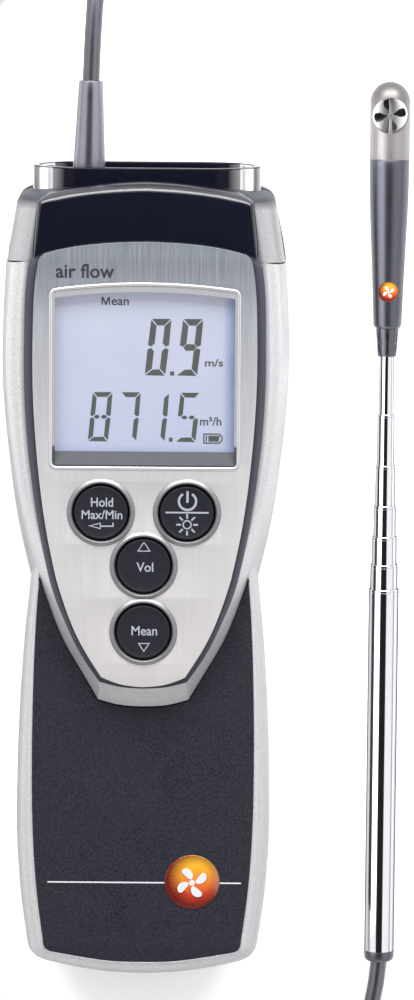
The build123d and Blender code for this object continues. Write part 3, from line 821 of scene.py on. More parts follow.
SHELL_TOP = 37.4
base, middle, crown = lifted(up_wide, 23), lifted(up_mid, 33), lifted(up_top, SHELL_TOP)
first_control = lifted(blended(up_wide, up_mid, 0.25), 29.0)
round_control = lifted(blended(up_mid, up_top, 0.22), 36.3)
second_control = (middle + crown) / 2 * (1 - weight) + round_control * weight
stack = [lifted(up_wide, LOW_Z), lifted(up_wide, 19.5), base]
stack += [bent(base, first_control, middle, t / 5) for t in range(1, 6)]
stack += [bent(middle, second_control, crown, t / 9) for t in range(1, 10)]
for ring in stack:
    lean(ring, ring[:, 1] > 61.7)
rings = [[(XC + u, y, z) for u, y, z in ring] for ring in stack]
housing = boolean(loft_mesh("front_housing", rings), lower_body, "UNION")


def drawn_in(loop, across, along, middle, low=-200.0, high=200.0):
    """Outline scaled about the centre line and a middle height, with its ends cut straight."""
    out = np.array(loop, float)
    out[:, 0] *= across
    out[:, 1] = np.clip(middle + (out[:, 1] - middle) * along, low, high)
    return out


rings = [level(drawn_in(loop, across, along, -49), z) for loop, across, along, z in
         ((seam, 0.915, 0.955, 15.0), (seam, 0.915, 0.955, 20.0), (edge, 1.01, 1.005, 27.5),
          (edge, 0.92, 0.96, 30.0))]
housing = boolean(housing, loft_mesh("hollow", rings))
rings = [level(drawn_in(loop, 0.90, 1.0, 0, low, high), z) for loop, low, high, z in
         ((up_wide, -28.0, 58.5, 14.5), (up_wide, -28.0, 58.5, 24.0),
          (up_mid, -27.6, 58.4, 31.0), (up_top, -24.6, 58.2, 35.4))]
housing = boolean(housing, loft_mesh("hollow", rings))


def window_loop(half, y0, y1, peak, corner=1.2, steps=6):
    """Outline of the display window with an arched top, anticlockwise from its foot."""
    fall = math.degrees(math.atan((peak - y1) * 2 / half))
    points = [(0.0, y0)]
    points += arc_points(half - corner, y0 + corner, corner, -90, 0, steps)
    points += arc_points(half - corner, y1 - corner * 0.93, corner, 0, 90 - fall, steps)
    last_u, last_y = points[-1]
    points += [(last_u * t, peak - (peak - last_y) * t ** 2)
               for t in (1 - k / 14 for k in range(1, 15))]
    return whole(np.array(points))


opening = window_loop(20.2, 18.0, 56.0, 57.3)
housing = boolean(housing, loft_mesh("window", [level(opening, z) for z in (33.0, 39.0)]))
for u, y in KEYS:
    hole = [(32.0, 0), (32.0, SHELL_HOLE_R), (38.5, SHELL_HOLE_R), (38.5, 0)]
    housing = boolean(housing, turned("key_hole", hole, upright(XC + u, y), 64))
mended(housing)
soften(housing, 24)
add_object("front_housing", housing, SILVER, "instrument", "silver_plastic", "front_shell")

# ---- dark panel on the handle, its line and the badge -------------------------------------
V_EDGE = [(23.15, -8.6), (20.4, -15.9), (17.7, -22.4), (14.2, -28.65), (10.15, -35.7)]
outline = half_loop((LOW_EDGE[0], 16), (LOW_EDGE[1], 14),
                    ([(22.4, -90.6), (23.05, -86), (24.05, -77), (24.65, -67.6), (24.95, -54),
                      (24.85, -40), (24.3, -22), (23.75, -13), (23.4, -8.4)], 60),
                    ([(23.4, -8.4), (23.15, -8.6)], 3), (V_EDGE, 24),
                    ([(10.15, -35.7), (5.6, -36.9), (0, -37.3)], 8))
panel_loop = shifted(whole(outline), 0.16)
panel = flat_mesh("handle_panel", [panel_loop], 31.65, 33.0, 0.12, 2)
add_object("handle_panel", panel, DARK, "instrument", "dark_plastic", "lower_panel")

BADGE_U, BADGE_Y, BADGE_R = 11.2, -77.15, 6.2
LINE_LOW, LINE_HIGH = -77.54, -77.22
bars = [flat_mesh("bar", [[(u0, LINE_LOW), (u1, LINE_LOW), (u1, LINE_HIGH), (u0, LINE_HIGH)]],
                  32.8, 33.03, 0.02, 1) for u0, u1 in ((-21.3, 5.0), (17.4, 22.2))]
add_object("handle_line", joined("handle_line", bars), WHITE_INK, "instrument", "white_print",
           "accent_line")


def enamel_mesh(name, profile, place, radius, count=72):
    """A badge dome carrying how far up and how far out each point is."""
    mesh = turned(name, profile, Matrix.Identity(4), count)
    up = mesh.attributes.new("up", "FLOAT", "POINT")
    out = mesh.attributes.new("out", "FLOAT", "POINT")
    for vertex in mesh.vertices:
        x, y = vertex.co.x / MM, vertex.co.y / MM
        up.data[vertex.index].value = 0.5 + 0.5 * y / radius
        out.data[vertex.index].value = math.hypot(x - radius * 0.12, y - radius * 0.12) / radius
    mesh.transform(place)
    return mesh


def dome(radius, z0, z1, crown, steps=14):
    """Profile of a low dome with a rolled edge."""
    points = [(z0, 0), (z0, radius)]
    points += [(z1 - 0.12, radius), (z1, radius - 0.12)]
    for k in range(1, steps + 1):
        t = k / steps
        points.append((z1 + (crown - z1) * (1 - (1 - t) ** 2), (radius - 0.12) * (1 - t)))
    return points


def rotor_mesh(name, radius, z, thick, place):
    """A four-bladed rotor sign with a hub, seen flat."""
    meshes = []
    for quarter in range(4):
        turn_by = math.radians(90 * quarter + 20)
        loop = []
        for k in range(24):
            a = 2 * math.pi * k / 24
            reach = 0.57 + 0.37 * math.cos(a)
            swing = 0.24 * math.sin(a) * (0.55 + 0.75 * reach)
            sweep = turn_by + 0.5 * (reach - 0.5)
            x, y = reach * radius, swing * radius
            loop.append((x * math.cos(sweep) - y * math.sin(sweep),
                         x * math.sin(sweep) + y * math.cos(sweep)))
        rings = [[(px, py, h) for px, py in loop] for h in (z, z + thick)]
        meshes.append(loft_mesh("blade", rings))
    meshes.append(turned("hub", [(z, 0), (z, radius * 0.17), (z + thick, radius * 0.17),
                                 (z + thick, 0)], Matrix.Identity(4), 32))
    mesh = joined(name, meshes)
    mesh.transform(place)
    return mesh


badge_place = upright(XC + BADGE_U, BADGE_Y)
badge_mesh = enamel_mesh("badge_dome", dome(BADGE_R, 31.7, 33.2, 33.85), badge_place,
                         BADGE_R)
add_object("badge_dome", badge_mesh, ENAMEL, "instrument", "badge_enamel", "badge")
sign = rotor_mesh("badge_rotor", 3.9, 33.62, 0.26, badge_place)
add_object("badge_rotor", sign, WHITE_INK, "instrument", "white_print")

# ---- dark surround and brushed plate --------------------------------------------------------
PLATE_RUNS = [[(0, -31.7), (5.0, -31.1), (9.3, -29.5)],
              [(9.3, -29.5), (11.8, -25.6), (14.3, -21.2), (16.3, -16.7), (17.9, -12.2),
               (19.3, -7.7)],
              [(19.3, -7.7), (21.2, 1.2), (22.6, 10.1), (23.6, 19), (24.3, 27.9), (24.7, 38),
               (24.6, 50), (24.1, 58.8), (23.6, 62.2)],
              [(23.6, 62.2), (23.2, 63.6), (22.1, 64.6)],
              [(22.1, 64.6), (19.6, 65.3), (14.4, 66.3), (7.8, 67.0), (0, 67.3)]]
RIM_RUNS = UP_TOP[:2] + [UP_TOP[2], [(25.7, 61.8), (24.3, 63.2), (22.3, 64.95)],
                         [(22.3, 64.95), (19.6, 65.6), (14.4, 66.6), (7.8, 67.35), (0, 67.65)]]
PLATE_COUNTS = (12, 30, 70, 10, 24)
plate_loop, rim_loop = outline_of(PLATE_RUNS, PLATE_COUNTS), outline_of(RIM_RUNS, PLATE_COUNTS)
inner_loop = shifted(plate_loop, -0.06)
RIM_FOOT, RIM_Z, RIM_RISE = 37.0, 37.42, 1.42
inward = [0.0, 0.0] + [k / 10 for k in range(1, 11)] + [1.0]
rings = [level(rim_loop, RIM_FOOT)]
rings += [level(blended(rim_loop, inner_loop, t), RIM_Z + RIM_RISE * math.sin(t * 1.45))
          for t in inward[1:-1]]
rings.append(level(inner_loop, RIM_FOOT))
surround = loft_mesh("dark_surround", rings, closed=True, degrees=40)
mark = surround.attributes.new("inward", "FLOAT", "POINT")
for vertex in surround.vertices:
    mark.data[vertex.index].value = inward[vertex.index // len(rim_loop)]
add_object("dark_surround", surround, SURROUND, "instrument", "dark_plastic",
           "face_surround")

WINDOW = (20.6, 17.4, 56.5, 57.9)
holes = [plate_loop, window_loop(*WINDOW)[::-1]]
holes += [circle(u, y, PLATE_HOLE_R) for u, y in KEYS]
plate = flat_mesh("brushed_plate", holes, 38.1, Z_FACE, 0.09, 2)
add_object("brushed_plate", plate, PLATE, "instrument", "face_metal", "face_plate")


def bead(name, loop, profile, degrees=50):
    """A bead that follows an outline; profile holds (inset, height) pairs."""
    rings = [level(shifted(loop, d), z) for d, z in profile]
    return loft_mesh(name, rings, closed=True, degrees=degrees)


LIP = finish_of("polished_lip", (0.40, 0.395, 0.405), 0.36, 0.6, 0.04, 0.15, depth=0.0006)
COLLAR = finish_of("key_collar", (0.150, 0.148, 0.154), 0.40, 0.7, 0.04, 0.15, depth=0.0006)
lip = bead("window_lip", window_loop(*WINDOW),
           [(0.02, 38.2), (-0.02, 38.98), (-0.5, 39.0), (-0.42, 39.13), (-0.2, 39.22),
            (0.08, 39.2), (0.26, 39.05), (0.34, 38.8), (0.34, 38.2)])
add_object("window_lip", lip, LIP, "instrument", "face_metal")
for index, (u, y) in enumerate(KEYS, 1):
    ring = turned("key_collar_%d" % index,
                  [(38.2, 6.72), (38.98, 6.78), (39.0, 7.55), (39.12, 7.42), (39.3, 7.22),
                   (39.46, 6.98), (39.54, 6.76), (39.5, 6.62), (39.38, 6.54), (39.2, 6.46),
                   (38.9, 6.34), (38.2, 6.28)], upright(XC + u, y), 96, 50)
    add_object("key_collar_%d" % index, ring, COLLAR, "instrument", "face_metal")

# ---- keys and their legends -----------------------------------------------------------------
for index, (u, y) in enumerate(KEYS, 1):
    cap = turned("key_cap_%d" % index,
                 [(35.0, 0), (35.0, FLANGE_R), (35.75, FLANGE_R), (35.75, KEY_R), (39.15, KEY_R),
                  (39.38, 5.9), (39.52, 5.78), (39.56, 5.62), (39.5, 5.45), (39.44, 5.2),
                  (39.42, 4.0), (39.4, 0)], upright(XC + u, y), 96, 30)
    add_object("key_cap_%d" % index, cap, KEY, "key_%d" % index, "key_rubber",
               "button_%d" % index)
Z_KEY = 39.41


def fit_text(name, words, u0, u1, y0, y1, z, thick=0.05, weight=0.0):
    """Lettering stretched to fill a rectangle."""
    curve = bpy.data.curves.new(name, "FONT")
    curve.body = words
    curve.size = 10.0
    curve.offset = weight
    curve.extrude = 0.5
    curve.resolution_u = 4
    mesh = mesh_of_curve(curve)
    low = [min(v.co[i] for v in mesh.vertices) for i in range(3)]
    high = [max(v.co[i] for v in mesh.vertices) for i in range(3)]
    scale = [(u1 - u0) / (high[0] - low[0]), (y1 - y0) / (high[1] - low[1]),
             thick / (high[2] - low[2])]
    place = Matrix.Translation(((XC + u0) * MM, y0 * MM, z * MM))
    stretch = Matrix.Diagonal([s * MM for s in scale] + [1])
    mesh.transform(place @ stretch @ Matrix.Translation([-c for c in low]))
    weld(mesh)
    soften(mesh, 40)
    return mesh


def ribbon(points, width, z, thick=0.05, closed=False):
    """A flat line with mitred corners."""
    p = np.array(points, float)
    count = len(p)
    rings = []
    for k in range(count):
        before = p[k] - p[k - 1] if (closed or k > 0) else p[1] - p[0]
        after = p[(k + 1) % count] - p[k] if (closed or k < count - 1) else before
        before, after = before / np.linalg.norm(before), after / np.linalg.norm(after)
        t = before + after
        t /= np.linalg.norm(t)
        n = np.array([-t[1], t[0]])
        reach = width / 2 / max(0.35, float(np.dot(t, after)))
        a, b = p[k] + n * reach, p[k] - n * reach
        rings.append([(XC + a[0], a[1], z), (XC + b[0], b[1], z),
                      (XC + b[0], b[1], z + thick), (XC + a[0], a[1], z + thick)])
    return loft_mesh("ribbon", rings, closed=closed)


LEGEND = finish_of("legend_ink", (0.20, 0.208, 0.232), 0.45, 0.0, 0.05, 0.2, depth=0.001)
legends = {
    1: [fit_text("hold", "Hold", -11.7, -6.8, 8.75, 10.8, Z_KEY, weight=0.13),
        fit_text("range", "Max/Min", -13.75, -4.75, 6.0, 8.0, Z_KEY, weight=0.13),
        ribbon([(-12.0, 4.5), (-9.6, 5.1), (-9.6, 3.9)], 0.22, Z_KEY, closed=True),
        ribbon([(-9.5, 4.45), (-6.8, 4.45), (-6.8, 5.25)], 0.3, Z_KEY)],
    2: [ribbon(arc_points(9.6, 10.1, 1.9, 122, 418, 40), 0.5, Z_KEY),
        ribbon([(9.6, 12.4), (9.6, 9.8)], 0.5, Z_KEY),
        ribbon([(4.75, 7.6), (14.3, 7.6)], 0.36, Z_KEY),
        ribbon(arc_points(9.55, 4.9, 0.88, 0, 348.75, 31), 0.3, Z_KEY, closed=True)]
    + [ribbon([(9.55 + r * math.cos(a), 4.9 + r * math.sin(a)) for r in (1.35, 2.4)], 0.4, Z_KEY)
       for a in (math.radians(45 * k) for k in range(8))],
    3: [fit_text("volume", "Vol", -1.6, 2.15, -5.7, -3.6, Z_KEY, weight=0.13),
        ribbon([(-1.25, -1.05), (1.35, -1.05), (0.05, 0.95)], 0.22, Z_KEY, closed=True)],
    4: [fit_text("mean", "Mean", -2.6, 3.1, -19.95, -17.85, Z_KEY, weight=0.13),
        ribbon([(-1.0, -21.75), (0.15, -23.55), (1.3, -21.75)], 0.22, Z_KEY, closed=True)],
}
for index, meshes in legends.items():
    name = "key_legend_%d" % index
    add_object(name, joined(name, meshes), LEGEND, "key_%d" % index, "white_print")

label = fit_text("plate_label", "air flow", -19.6, -6.8, 59.3, 62.4, Z_FACE, 0.03, 0.16)
add_object("plate_label", label, BLACK_INK, "instrument", "dark_plastic")

# ---- display ----------------------------------------------------------------------------------


def polygon(points, z, thick=0.04):
    """A thin prism over an outline."""
    return loft_mesh("segment", [[(XC + u, y, h) for u, y in points] for h in (z, z + thick)])


def digit(which, u0, y0, w, h, t, slant, z, split=False):
    """A slanted seven-segment digit; g is the gap between segments, m the middle height."""
    g, m = 0.14, h / 2
    shapes = {
        "a": [(g * 2, h), (w - g * 2, h), (w - t - g, h - t), (t + g, h - t)],
        "d": [(g, g * 0.5), (w - g * 2, 0), (w - t - g, t), (t + g, t * 0.9)],
        "f": [(0.1, h - 2 * g), (t * 0.98, h - t - g), (t, m + t * 0.62), (t * 0.5, m + g),
              (0, m + t * 0.35)],
        "b": [(w - 0.1, h - 2 * g), (w, m + t * 0.35), (w - t * 0.5, m + g),
              (w - t, m + t * 0.62), (w - t, h - t - g)],
        "e": [(0, m - t * 0.35), (t * 0.5, m - g), (t, m - t * 0.62), (t * 0.98, t + g * 0.6),
              (0, 2.4 * g)],
        "c": [(w, m - t * 0.35), (w - 0.1, 2 * g), (w - t, t + g), (w - t, m - t * 0.62),
              (w - t * 0.5, m - g)],
    }
    if split:
        for tag, a, b in (("g", t * 0.62 + g, w / 2 - g), ("h", w / 2 + g, w - t * 0.62 - g)):
            shapes[tag] = [(a, m), (a + t * 0.35, m - t * 0.38), (b - t * 0.3, m - t * 0.38),
                           (b, m), (b - t * 0.3, m + t * 0.38), (a + t * 0.35, m + t * 0.38)]
    else:
        shapes["g"] = [(t * 0.5 + g, m), (t, m - t * 0.5), (w - t, m - t * 0.5),
                       (w - t * 0.5 - g, m), (w - t, m + t * 0.5), (t, m + t * 0.5)]
    return [polygon([(u0 + x + slant * y, y0 + y) for x, y in shapes[tag]], z) for tag in which]


Z_LENS = mm_box("lcd_lens")[1][2] + 0.002
CAPITAL_M = [(0, 0), (0.28, 0), (0.28, 1.24), (0.78, 0), (1.06, 0), (1.56, 1.24), (1.56, 0),
             (1.84, 0), (1.84, 1.75), (1.42, 1.75), (0.92, 0.5), (0.42, 1.75), (0, 1.75)]
marks = []
for which, u in (("abcdef", -0.05), ("abcdfg", 6.95)):
    marks += digit(which, u, 37.7, w=4.62, h=12.55, t=1.43, slant=0.105, z=Z_LENS)
for which, u in (("abcdefgh", -12.5), ("abc", -6.27), ("bc", -0.02), ("acdfgh", 6.82)):
    marks += digit(which, u, 23.0, w=4.5, h=10.95, t=1.05, slant=0.09, z=Z_LENS, split=True)
for u0, u1, y0, y1 in ((5.55, 6.45, 37.75, 38.65), (5.4, 6.2, 23.05, 23.95)):
    marks.append(polygon([(u0, y0), (u1, y0), (u1, y1), (u0, y1)], Z_LENS))
marks += [polygon([(-9.6 + x, 53.2 + y) for x, y in CAPITAL_M], Z_LENS),
          fit_text("m", "ean", -7.42, -3.6, 53.17, 54.5, Z_LENS, 0.04, 0.12),
          fit_text("m", "m/s", 13.2, 17.2, 39.8, 41.45, Z_LENS, 0.04, 0.18),
          fit_text("m", "m³/h", 12.2, 16.95, 26.7, 28.6, Z_LENS, 0.04, 0.18),
          ribbon([(13.1, 22.8), (16.5, 22.8), (17.1, 23.4), (17.1, 24.2), (16.5, 24.8),
                  (13.1, 24.8)], 0.28, Z_LENS, 0.04, True),
          polygon([(14.1, 23.15), (16.35, 23.15), (16.6, 24.45), (14.1, 24.45)], Z_LENS),
          polygon([(13.45, 23.15), (13.75, 23.15), (13.85, 24.45), (13.55, 24.45)], Z_LENS)]
add_object("display_marks", joined("display_marks", marks), SEGMENT, "instrument",
           "light_plastic")
paint("lcd_lens", DISPLAY)


def wall_finish():
    """Window wall: painted shade makes the foot slope dark grey, and painted light makes the walls
    above it pale.
    """
    n = Nodes("window_wall")
    fine = n.noise(0.2, (1, 0.03, 1))
    # Painted shade on the foot slope and painted light on the walls above it.
    slope = n.speckled(fine, (0.024, 0.027, 0.033), (0.032, 0.035, 0.042))
    above = n.ramp(n.axis(1), 21.9 * MM, 22.5 * MM, 0.0, 1.0)
    n.drive("Base Color", n.mix(above, slope, (0.185, 0.185, 0.194)))
    n.gloss(fine, 0.5, 0.6)
    n.fix("Specular IOR Level", 0.2)
    n.bump(fine, 0.002)
    return n.material


BEZEL_GREY = wall_finish()
paint("lcd_frame", BEZEL_GREY)

# ---- head -------------------------------------------------------------------------------------
HEAD_COUNTS = (8, 30, 40)
HEAD_SIDE = [(30.9, 62.15), (30.2, 66.5), (29.5, 71), (29.0, 73.9)]
HEAD_TOP = [(29.0, 73.9), (28.5, 75.7), (27.5, 76.85), (25.3, 77.55), (20, 78.5), (12, 79.4),
            (0, 80.0)]


def head_loop(side, front):
    """Outline of the head cap, inset at its sides and at its front."""
    foot_u, foot_y = HEAD_SIDE[0]
    corner_u = HEAD_TOP[0][0]
    runs = [[(0, foot_y), (foot_u - side, foot_y)], [(u - side, y) for u, y in HEAD_SIDE],
            [(max(0.0, u - side * (u / corner_u)), y - front) for u, y in HEAD_TOP]]
    return outline_of(runs, HEAD_COUNTS)


levels = spline([(16, 0, 0), (23, 0, 0), (29, 0.45, 0.1), (33.5, 1.9, 0.35), (36.2, 3.9, 0.9),
                 (37.6, 5.6, 1.9), (38.2, 7.0, 3.0)], 22)
rings = []
for z, side, front in levels:
    ring = head_loop(max(0.0, side), max(0.0, front))
    lean(ring, ring[:, 1] < 62.2)
    rings.append(level(ring, z))
cap = boolean(loft_mesh("head_cap_shell", rings, degrees=40),
              loft_mesh("relief", [level(shifted(rim_loop, -0.12), z) for z in (36.9, 42.0)]))
INLAY_COUNTS = (24, 20, 40)
INLAY_OUT = [[(0, 67.75), (7.8, 67.45), (14.4, 66.75), (19.6, 65.7), (22.4, 64.9), (24.7, 63.7)],
             [(24.7, 63.7), (24.5, 67.7), (24.1, 72.1), (23.75, 76.0)],
             [(23.75, 76.0), (22.6, 76.9), (20.6, 77.9), (14.5, 79.1), (7.5, 79.95), (0, 80.35)]]
INLAY_IN = [INLAY_OUT[0][:-1] + [(24.3, 63.8)],
            [(24.3, 63.8), (23.7, 67.7), (23.2, 72.1), (22.8, 74.9)],
            [(22.8, 74.9), (22.2, 75.3), (20.4, 75.75), (14.5, 76.85), (7.5, 77.6), (0, 78.0)]]
out_loop, in_loop = outline_of(INLAY_OUT, INLAY_COUNTS), outline_of(INLAY_IN, INLAY_COUNTS)
# The inlay's foot stands on the body and drops along the end of the head.
half_size = sum(INLAY_COUNTS) - len(INLAY_COUNTS) + 1
past_side = np.arange(half_size) - (INLAY_COUNTS[0] + INLAY_COUNTS[1] - 2)
foot = 36.9 - 2.5 * np.clip(past_side / 7, 0.0, 1.0)
foot = np.concatenate([foot, foot[::-1][1:-1]])
rings = [[(XC + u, y, f + h) for (u, y), f in zip(out_loop, foot)] for h in (-0.5, 0.0)]
for k in range(1, 13):
    angle = math.radians(90 * k / 12)
    mix_loop = blended(out_loop, in_loop, 1 - math.cos(angle))
    rings.append([(XC + u, y, f + (38.65 - f) * math.sin(angle))
                  for (u, y), f in zip(mix_loop, foot)])
inlay_mesh = loft_mesh("head_dark_inlay", rings, degrees=45)
cap = boolean(cap, loft_mesh("pocket", [level(shifted(out_loop, -0.05), z)
                                        for z in (34.0, 42.0)]))
mended(cap)
soften(cap, 40)
add_object("head_cap_shell", cap, SILVER_HEAD, "instrument", "silver_plastic", "head_cap")
add_object("head_dark_inlay", inlay_mesh, INLAY, "instrument", "dark_plastic", "head_inlay")

# ---- socket ring, insert and boot -------------------------------------------------------------
ring_low, ring_high = mm_box("socket_bezel")
RING_W, RING_H = (ring_high[0] - ring_low[0]) / 2, (ring_high[2] - ring_low[2]) / 2
RING_Z = (ring_high[2] + ring_low[2]) / 2
Y_RIM = ring_high[1]


def stadium_points(inset, count=40):
    """Stadium outline around the socket axis as (u, z)."""
    r = RING_H - inset
    half = RING_W - RING_H
    points = []
    for side in (1, -1):
        points += arc_points(side * half, RING_Z, r, -90 * side, 180 - 90 * side, count)
        points += [(side * half * (1 - 2 * k / 13), RING_Z + side * r) for k in range(1, 13)]
    return points


rings = [[(XC + u, y, z) for u, z in stadium_points(d)] for d, y in
         [(0.0, 75.0), (0.0, Y_RIM - 0.5), (0.06, Y_RIM - 0.22), (0.22, Y_RIM - 0.05),
          (0.5, Y_RIM), (1.0, Y_RIM), (1.3, Y_RIM - 0.08), (1.45, Y_RIM - 0.3),
          (1.5, Y_RIM - 0.7), (1.5, 75.0)]]
add_object("socket_ring", loft_mesh("socket_ring", rings, closed=True), BLACK_RING_PAINTED_SHINE, "instrument",
           "chrome_bezel", "socket_bezel")
paint("socket_insert", BLACK)

BOOT_BASE = Vector((XC - 13.0, 75.2, 21.6))
BOOT_TIP = Vector(UPPER_ROUTE[0])
boot_axis = BOOT_TIP - BOOT_BASE
boot_length = boot_axis.length
boot_place = (Matrix.Translation(BOOT_BASE * MM)
              @ boot_axis.to_track_quat("Z", "Y").to_matrix().to_4x4())
boot_profile = [(0, 0), (0, 5.2), (1.4, 5.2), (1.4, 3.4), (5.6, 3.4), (5.9, 3.66), (6.2, 3.68)]
boot_profile += [(z, 3.68 - 0.92 * (z - 6.2) / (boot_length - 7.4))
                 for z in np.linspace(8, boot_length - 0.5, 9)]
boot_profile += [(boot_length - 0.1, 2.6), (boot_length, 2.4), (boot_length, 0)]
add_object("cable_relief", turned("cable_relief", boot_profile, boot_place, 64), BOOT,
           "instrument", "cable_rubber", "cable_boot")

# ---- probe --------------------------------------------------------------------------------------
for k in range(1, 8):
    node = "probe_tube_%d" % k
    low, high = mm_box(node)
    outer = (high[0] - low[0]) / 2
    y0, y1 = low[1], high[1]
    profile = [(y0, outer - 0.2), (y0, outer)]
    profile += [(y0 + (y1 - 0.75 - y0) * s / 6, outer) for s in range(1, 7)]
    profile += [(y1 - 0.7, outer - 0.045), (y1 - 0.6, outer - 0.045), (y1 - 0.55, outer),
                (y1 - 0.22, outer), (y1 - 0.07, outer - 0.06), (y1, outer - 0.14),
                (y1, outer - 0.2)]
    add_object("telescope_tube_%d" % k, turned("telescope_tube_%d" % k, profile, PROBE_AXIS, 80),
               TUBE, "instrument" if k == 1 else "tube_%d" % k, "tube_steel", node)
low, high = mm_box("probe_end_cap")
cap_profile = [(low[1], 0), (low[1], 2.7), (low[1] + 0.25, 3.1), (low[1] + 0.8, 3.42),
               (-99.5, 3.45), (-99.3, 3.4), (-99.25, 3.2), (-95.5, 3.2), (-95.5, 0)]
add_object("tube_plug", turned("tube_plug", cap_profile, PROBE_AXIS), HANDLE, "instrument",
           "dark_plastic", "probe_end_cap")

collar_profile = [(38.95, 1.72), (38.95, 2.05), (39.15, 2.16), (41.5, 2.3), (41.7, 2.24),
                  (41.9, 2.24), (42.1, 2.36), (45.2, 2.6), (45.4, 2.55), (45.4, 2.2),
                  (52.0, 2.2), (52.0, 1.72)]
collar = turned("grip_collar", collar_profile, PROBE_AXIS, 64)
for step in range(6):
    angle = math.radians(60 * step + 30)
    x, z = PX + 2.2 * math.cos(angle), PZ + 2.2 * math.sin(angle)
    rings = [[(x + a * math.sin(angle) + b * math.cos(angle),
               y, z - a * math.cos(angle) + b * math.sin(angle))
              for a, b in ((-0.16, -0.34), (0.16, -0.34), (0.16, 0.9), (-0.16, 0.9))]
             for y in (39.9, 44.3)]
    collar = boolean(collar, loft_mesh("slot", rings))
soften(collar, 30)
add_object("grip_collar", collar, HANDLE, "head", "dark_plastic", "probe_collar")

grip_profile = [(45.45, 2.2), (45.45, 2.8), (45.6, 2.98), (46.1, 3.2)]
grip_profile += [(y, r) for y, r in spline([(46.1, 3.2), (53, 3.46), (60, 3.75), (67, 4.06),
                                            (74, 4.35), (83.45, 4.5)], 24)[1:]]
grip_profile += [(83.58, 4.44), (83.6, 4.3), (83.6, 3.0), (76.0, 3.0), (76.0, 1.9), (52.0, 1.9),
                 (52.0, 2.2)]
grip = turned("probe_grip", grip_profile, PROBE_AXIS, 96)
SEAT_Z = centre_of("probe_badge")[2] + 0.35
SMALL_R = 2.25
SEAT_R = SMALL_R + 0.04
small_place = upright(PX, 53.85)
seat = turned("seat", [(SEAT_Z - 0.72, 0), (SEAT_Z - 0.72, SEAT_R), (SEAT_Z + 2, SEAT_R),
                       (SEAT_Z + 2, 0)], small_place, 48)
grip = boolean(grip, seat)
soften(grip, 30)
add_object("probe_grip", grip, HANDLE, "head", "dark_plastic", "probe_handle")
small = enamel_mesh("small_badge_dome",
                    dome(SMALL_R, SEAT_Z - 0.7, SEAT_Z - 0.1, SEAT_Z + 0.05, 8), small_place,
                    SMALL_R, 56)
add_object("small_badge_dome", small, ENAMEL, "head", "badge_enamel", "probe_badge")
add_object("small_badge_rotor", rotor_mesh("small_badge_rotor", 1.45, SEAT_Z - 0.02, 0.09,
                                           small_place), WHITE_INK, "head", "white_print")

HOLE_Y = centre_of("impeller")[1]
head_profile = [(76.2, 0), (76.2, 3.0), (83.63, 3.0), (83.63, 4.42), (83.75, 4.5),
                (83.95, 4.53)]
head_profile += [(y, 4.53) for y in (86, 89, 92, 95, 96.4)]
for step in range(1, 17):
    angle = math.radians(90 * step / 16)
    head_profile.append((96.5 + 4.65 * math.sin(angle), 4.53 * math.cos(angle)))
head_profile[-1] = (101.15, 0)
vane = turned("vane_housing", head_profile, PROBE_AXIS, 96)
vane = boolean(vane, turned("bore", [(-4, 0), (-4, 4.03), (14, 4.03), (14, 0)],
                            upright(PX, HOLE_Y), 96))
soften(vane, 30)
add_object("vane_housing", vane, STEEL, "head", "head_steel", "probe_head")

for name, side in (("bearing_bridge_front", 1), ("bearing_bridge_rear", -1)):
    rings = []
    for s in np.linspace(-1, 1, 25):
        y = HOLE_Y + 4.0 * s
        half = 0.34 + 0.22 * abs(s) ** 2
        rings.append([(PX + half * math.cos(a), y, PZ + side * 2.95 + 0.30 * math.sin(a))
                      for a in (2 * math.pi * k / 16 for k in range(16))])
    arm = loft_mesh("arm", rings, degrees=40)
    boss = turned("boss", [(PZ + side * h, r) for h, r in
                           ((2.2, 0.26), (2.2, 0.62), (2.3, 0.7), (3.28, 0.7), (3.38, 0.6),
                            (3.38, 0.26))], upright(PX, HOLE_Y), 32)
    add_object("vane_" + name, joined("vane_" + name, [arm, boss]), STEEL, "head", "head_steel",
               name)

pieces = [turned("hub", [(PZ + h, r) for h, r in
                         ((-1.5, 0.25), (-1.5, 0.45), (-1.3, 0.62), (1.3, 0.62), (1.5, 0.45),
                          (1.5, 0.25))], upright(PX, HOLE_Y), 32)]
for quarter in range(4):
    turn_by = math.radians(90 * quarter + 12)
    rings = []
    for s in np.linspace(0, 1, 15):
        radius = 0.5 + 3.08 * s
        chord = 0.28 + 1.02 * min(1.0, max(0.0, (s - 0.12) / 0.4)) ** 1.3
        if s > 0.8:
            chord *= math.sqrt(max(0.02, 1 - ((s - 0.8) / 0.2) ** 2 * 0.8))
        pitch = math.radians(52 - 16 * s)
        ring = []
        for k in range(12):
            a = 2 * math.pi * k / 12
            across_blade, through = chord * math.cos(a), 0.085 * math.sin(a)
            v = across_blade * math.cos(pitch) - through * math.sin(pitch)
            w = across_blade * math.sin(pitch) + through * math.cos(pitch)
            ring.append((PX + radius * math.cos(turn_by) - v * math.sin(turn_by),
                         HOLE_Y + radius * math.sin(turn_by) + v * math.cos(turn_by), PZ + w))
        rings.append(ring)
    pieces.append(loft_mesh("blade", rings, degrees=40))
add_object("vane_wheel", joined("vane_wheel", pieces), BLADE, "rotor", "impeller_plastic",
           "impeller")

# ---- finishes of the carried-over pieces ----------------------------------------------------
for node, finish in {
        "rear_shell": REAR, "battery_door": REAR, "housing_screws": ZINC, "board_screws": ZINC,
        "circuit_board": BOARD, "keypad_mat": MAT, "lcd_backlight": WHITE_PLASTIC,
        "lcd_panel": DISPLAY, "lcd_connector_strip": BLACK, "measuring_chip": BLACK,
        "probe_lead_header": WHITE_PLASTIC, "battery": CELL, "battery_clip": BLACK,
        "battery_leads": LEAD, "pickup_coil": COPPER, "impeller_axle": STEEL}.items():
    paint(node, finish)

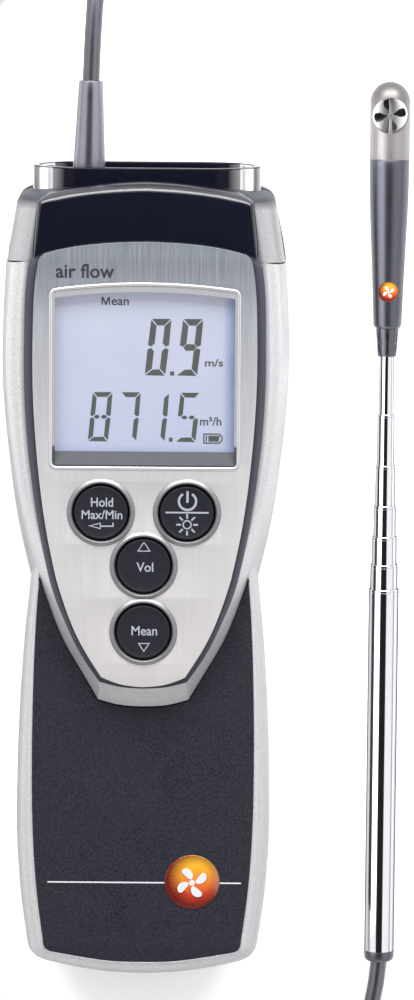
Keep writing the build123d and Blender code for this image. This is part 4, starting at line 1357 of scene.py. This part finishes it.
# ---- floor, light and surroundings -----------------------------------------------------------
FLOOR_HALF, FLOOR_Z, STEPS = 4000, -0.05, 12
ticks = [-FLOOR_HALF + 2 * FLOOR_HALF * i / STEPS for i in range(STEPS + 1)]
floor_points = [(x, y, FLOOR_Z) for x in ticks for y in ticks]
floor_faces = [(i * (STEPS + 1) + j, (i + 1) * (STEPS + 1) + j, (i + 1) * (STEPS + 1) + j + 1,
                i * (STEPS + 1) + j + 1) for i in range(STEPS) for j in range(STEPS)]
floor = linked("studio_floor", mesh_of("studio_floor", floor_points, floor_faces))
floor.data.materials.append(floor_finish())

world = bpy.data.worlds.new("studio")
bpy.context.scene.world = world
world.use_nodes = True
tree = world.node_tree
sky = tree.nodes["Background"]
direction = tree.nodes.new("ShaderNodeTexCoord").outputs["Generated"]

# Bright all round and brighter above. A band overhead is dark and brightens toward the foot,
# which shapes the streaks on round parts.
split = tree.nodes.new("ShaderNodeSeparateXYZ")
tree.links.new(direction, split.inputs[0])
sideways = arithmetic(tree, "ABSOLUTE", arithmetic(tree, "ADD", split.outputs["X"], 0.06))
inside = map_range(tree, sideways, 0.36, 0.45, 1.0, 0.0, True)
before = map_range(tree, split.outputs["Y"], 0.30, 0.50, 1.0, 0.0, True)
gap = arithmetic(tree, "MULTIPLY", inside, before)
gap_light = map_range(tree, split.outputs["Y"], -1.0, -0.5, 2.4, 0.03, True)
outside = map_range(tree, split.outputs["Z"], 0.06, 0.34, 0.75, 1.9, True)
strength = arithmetic(tree, "ADD", arithmetic(tree, "MULTIPLY", gap, gap_light),
                      arithmetic(tree, "MULTIPLY", arithmetic(tree, "SUBTRACT", 1.0, gap), outside))
tree.links.new(strength, sky.inputs["Strength"])
sky.inputs["Color"].default_value = (1.0, 1.0, 1.0, 1.0)


def softbox(name, place, aim, size_x, size_y, power):
    """A rectangular studio light, in metres and watts."""
    light = bpy.data.lights.new(name, "AREA")
    light.shape = "RECTANGLE"
    light.size, light.size_y = size_x, size_y
    light.energy = power
    obj = linked(name, light)
    obj.location = place
    obj.rotation_euler = (Vector(aim) - Vector(place)).to_track_quat("-Z", "Y").to_euler()


softbox("top_box", (0.0, 1.0, 0.60), aim=(0, 0.05, 0), size_x=1.6, size_y=0.6, power=45.0)
# A strip between the instrument and the probe gives the tubes their left streak.
softbox("side_strip", (0.0215, 0.0, 0.026), aim=(0.3, 0.0, 0.026), size_x=0.20, size_y=0.027,
        power=0.065)
bpy.context.scene.view_settings.view_transform = "Standard"
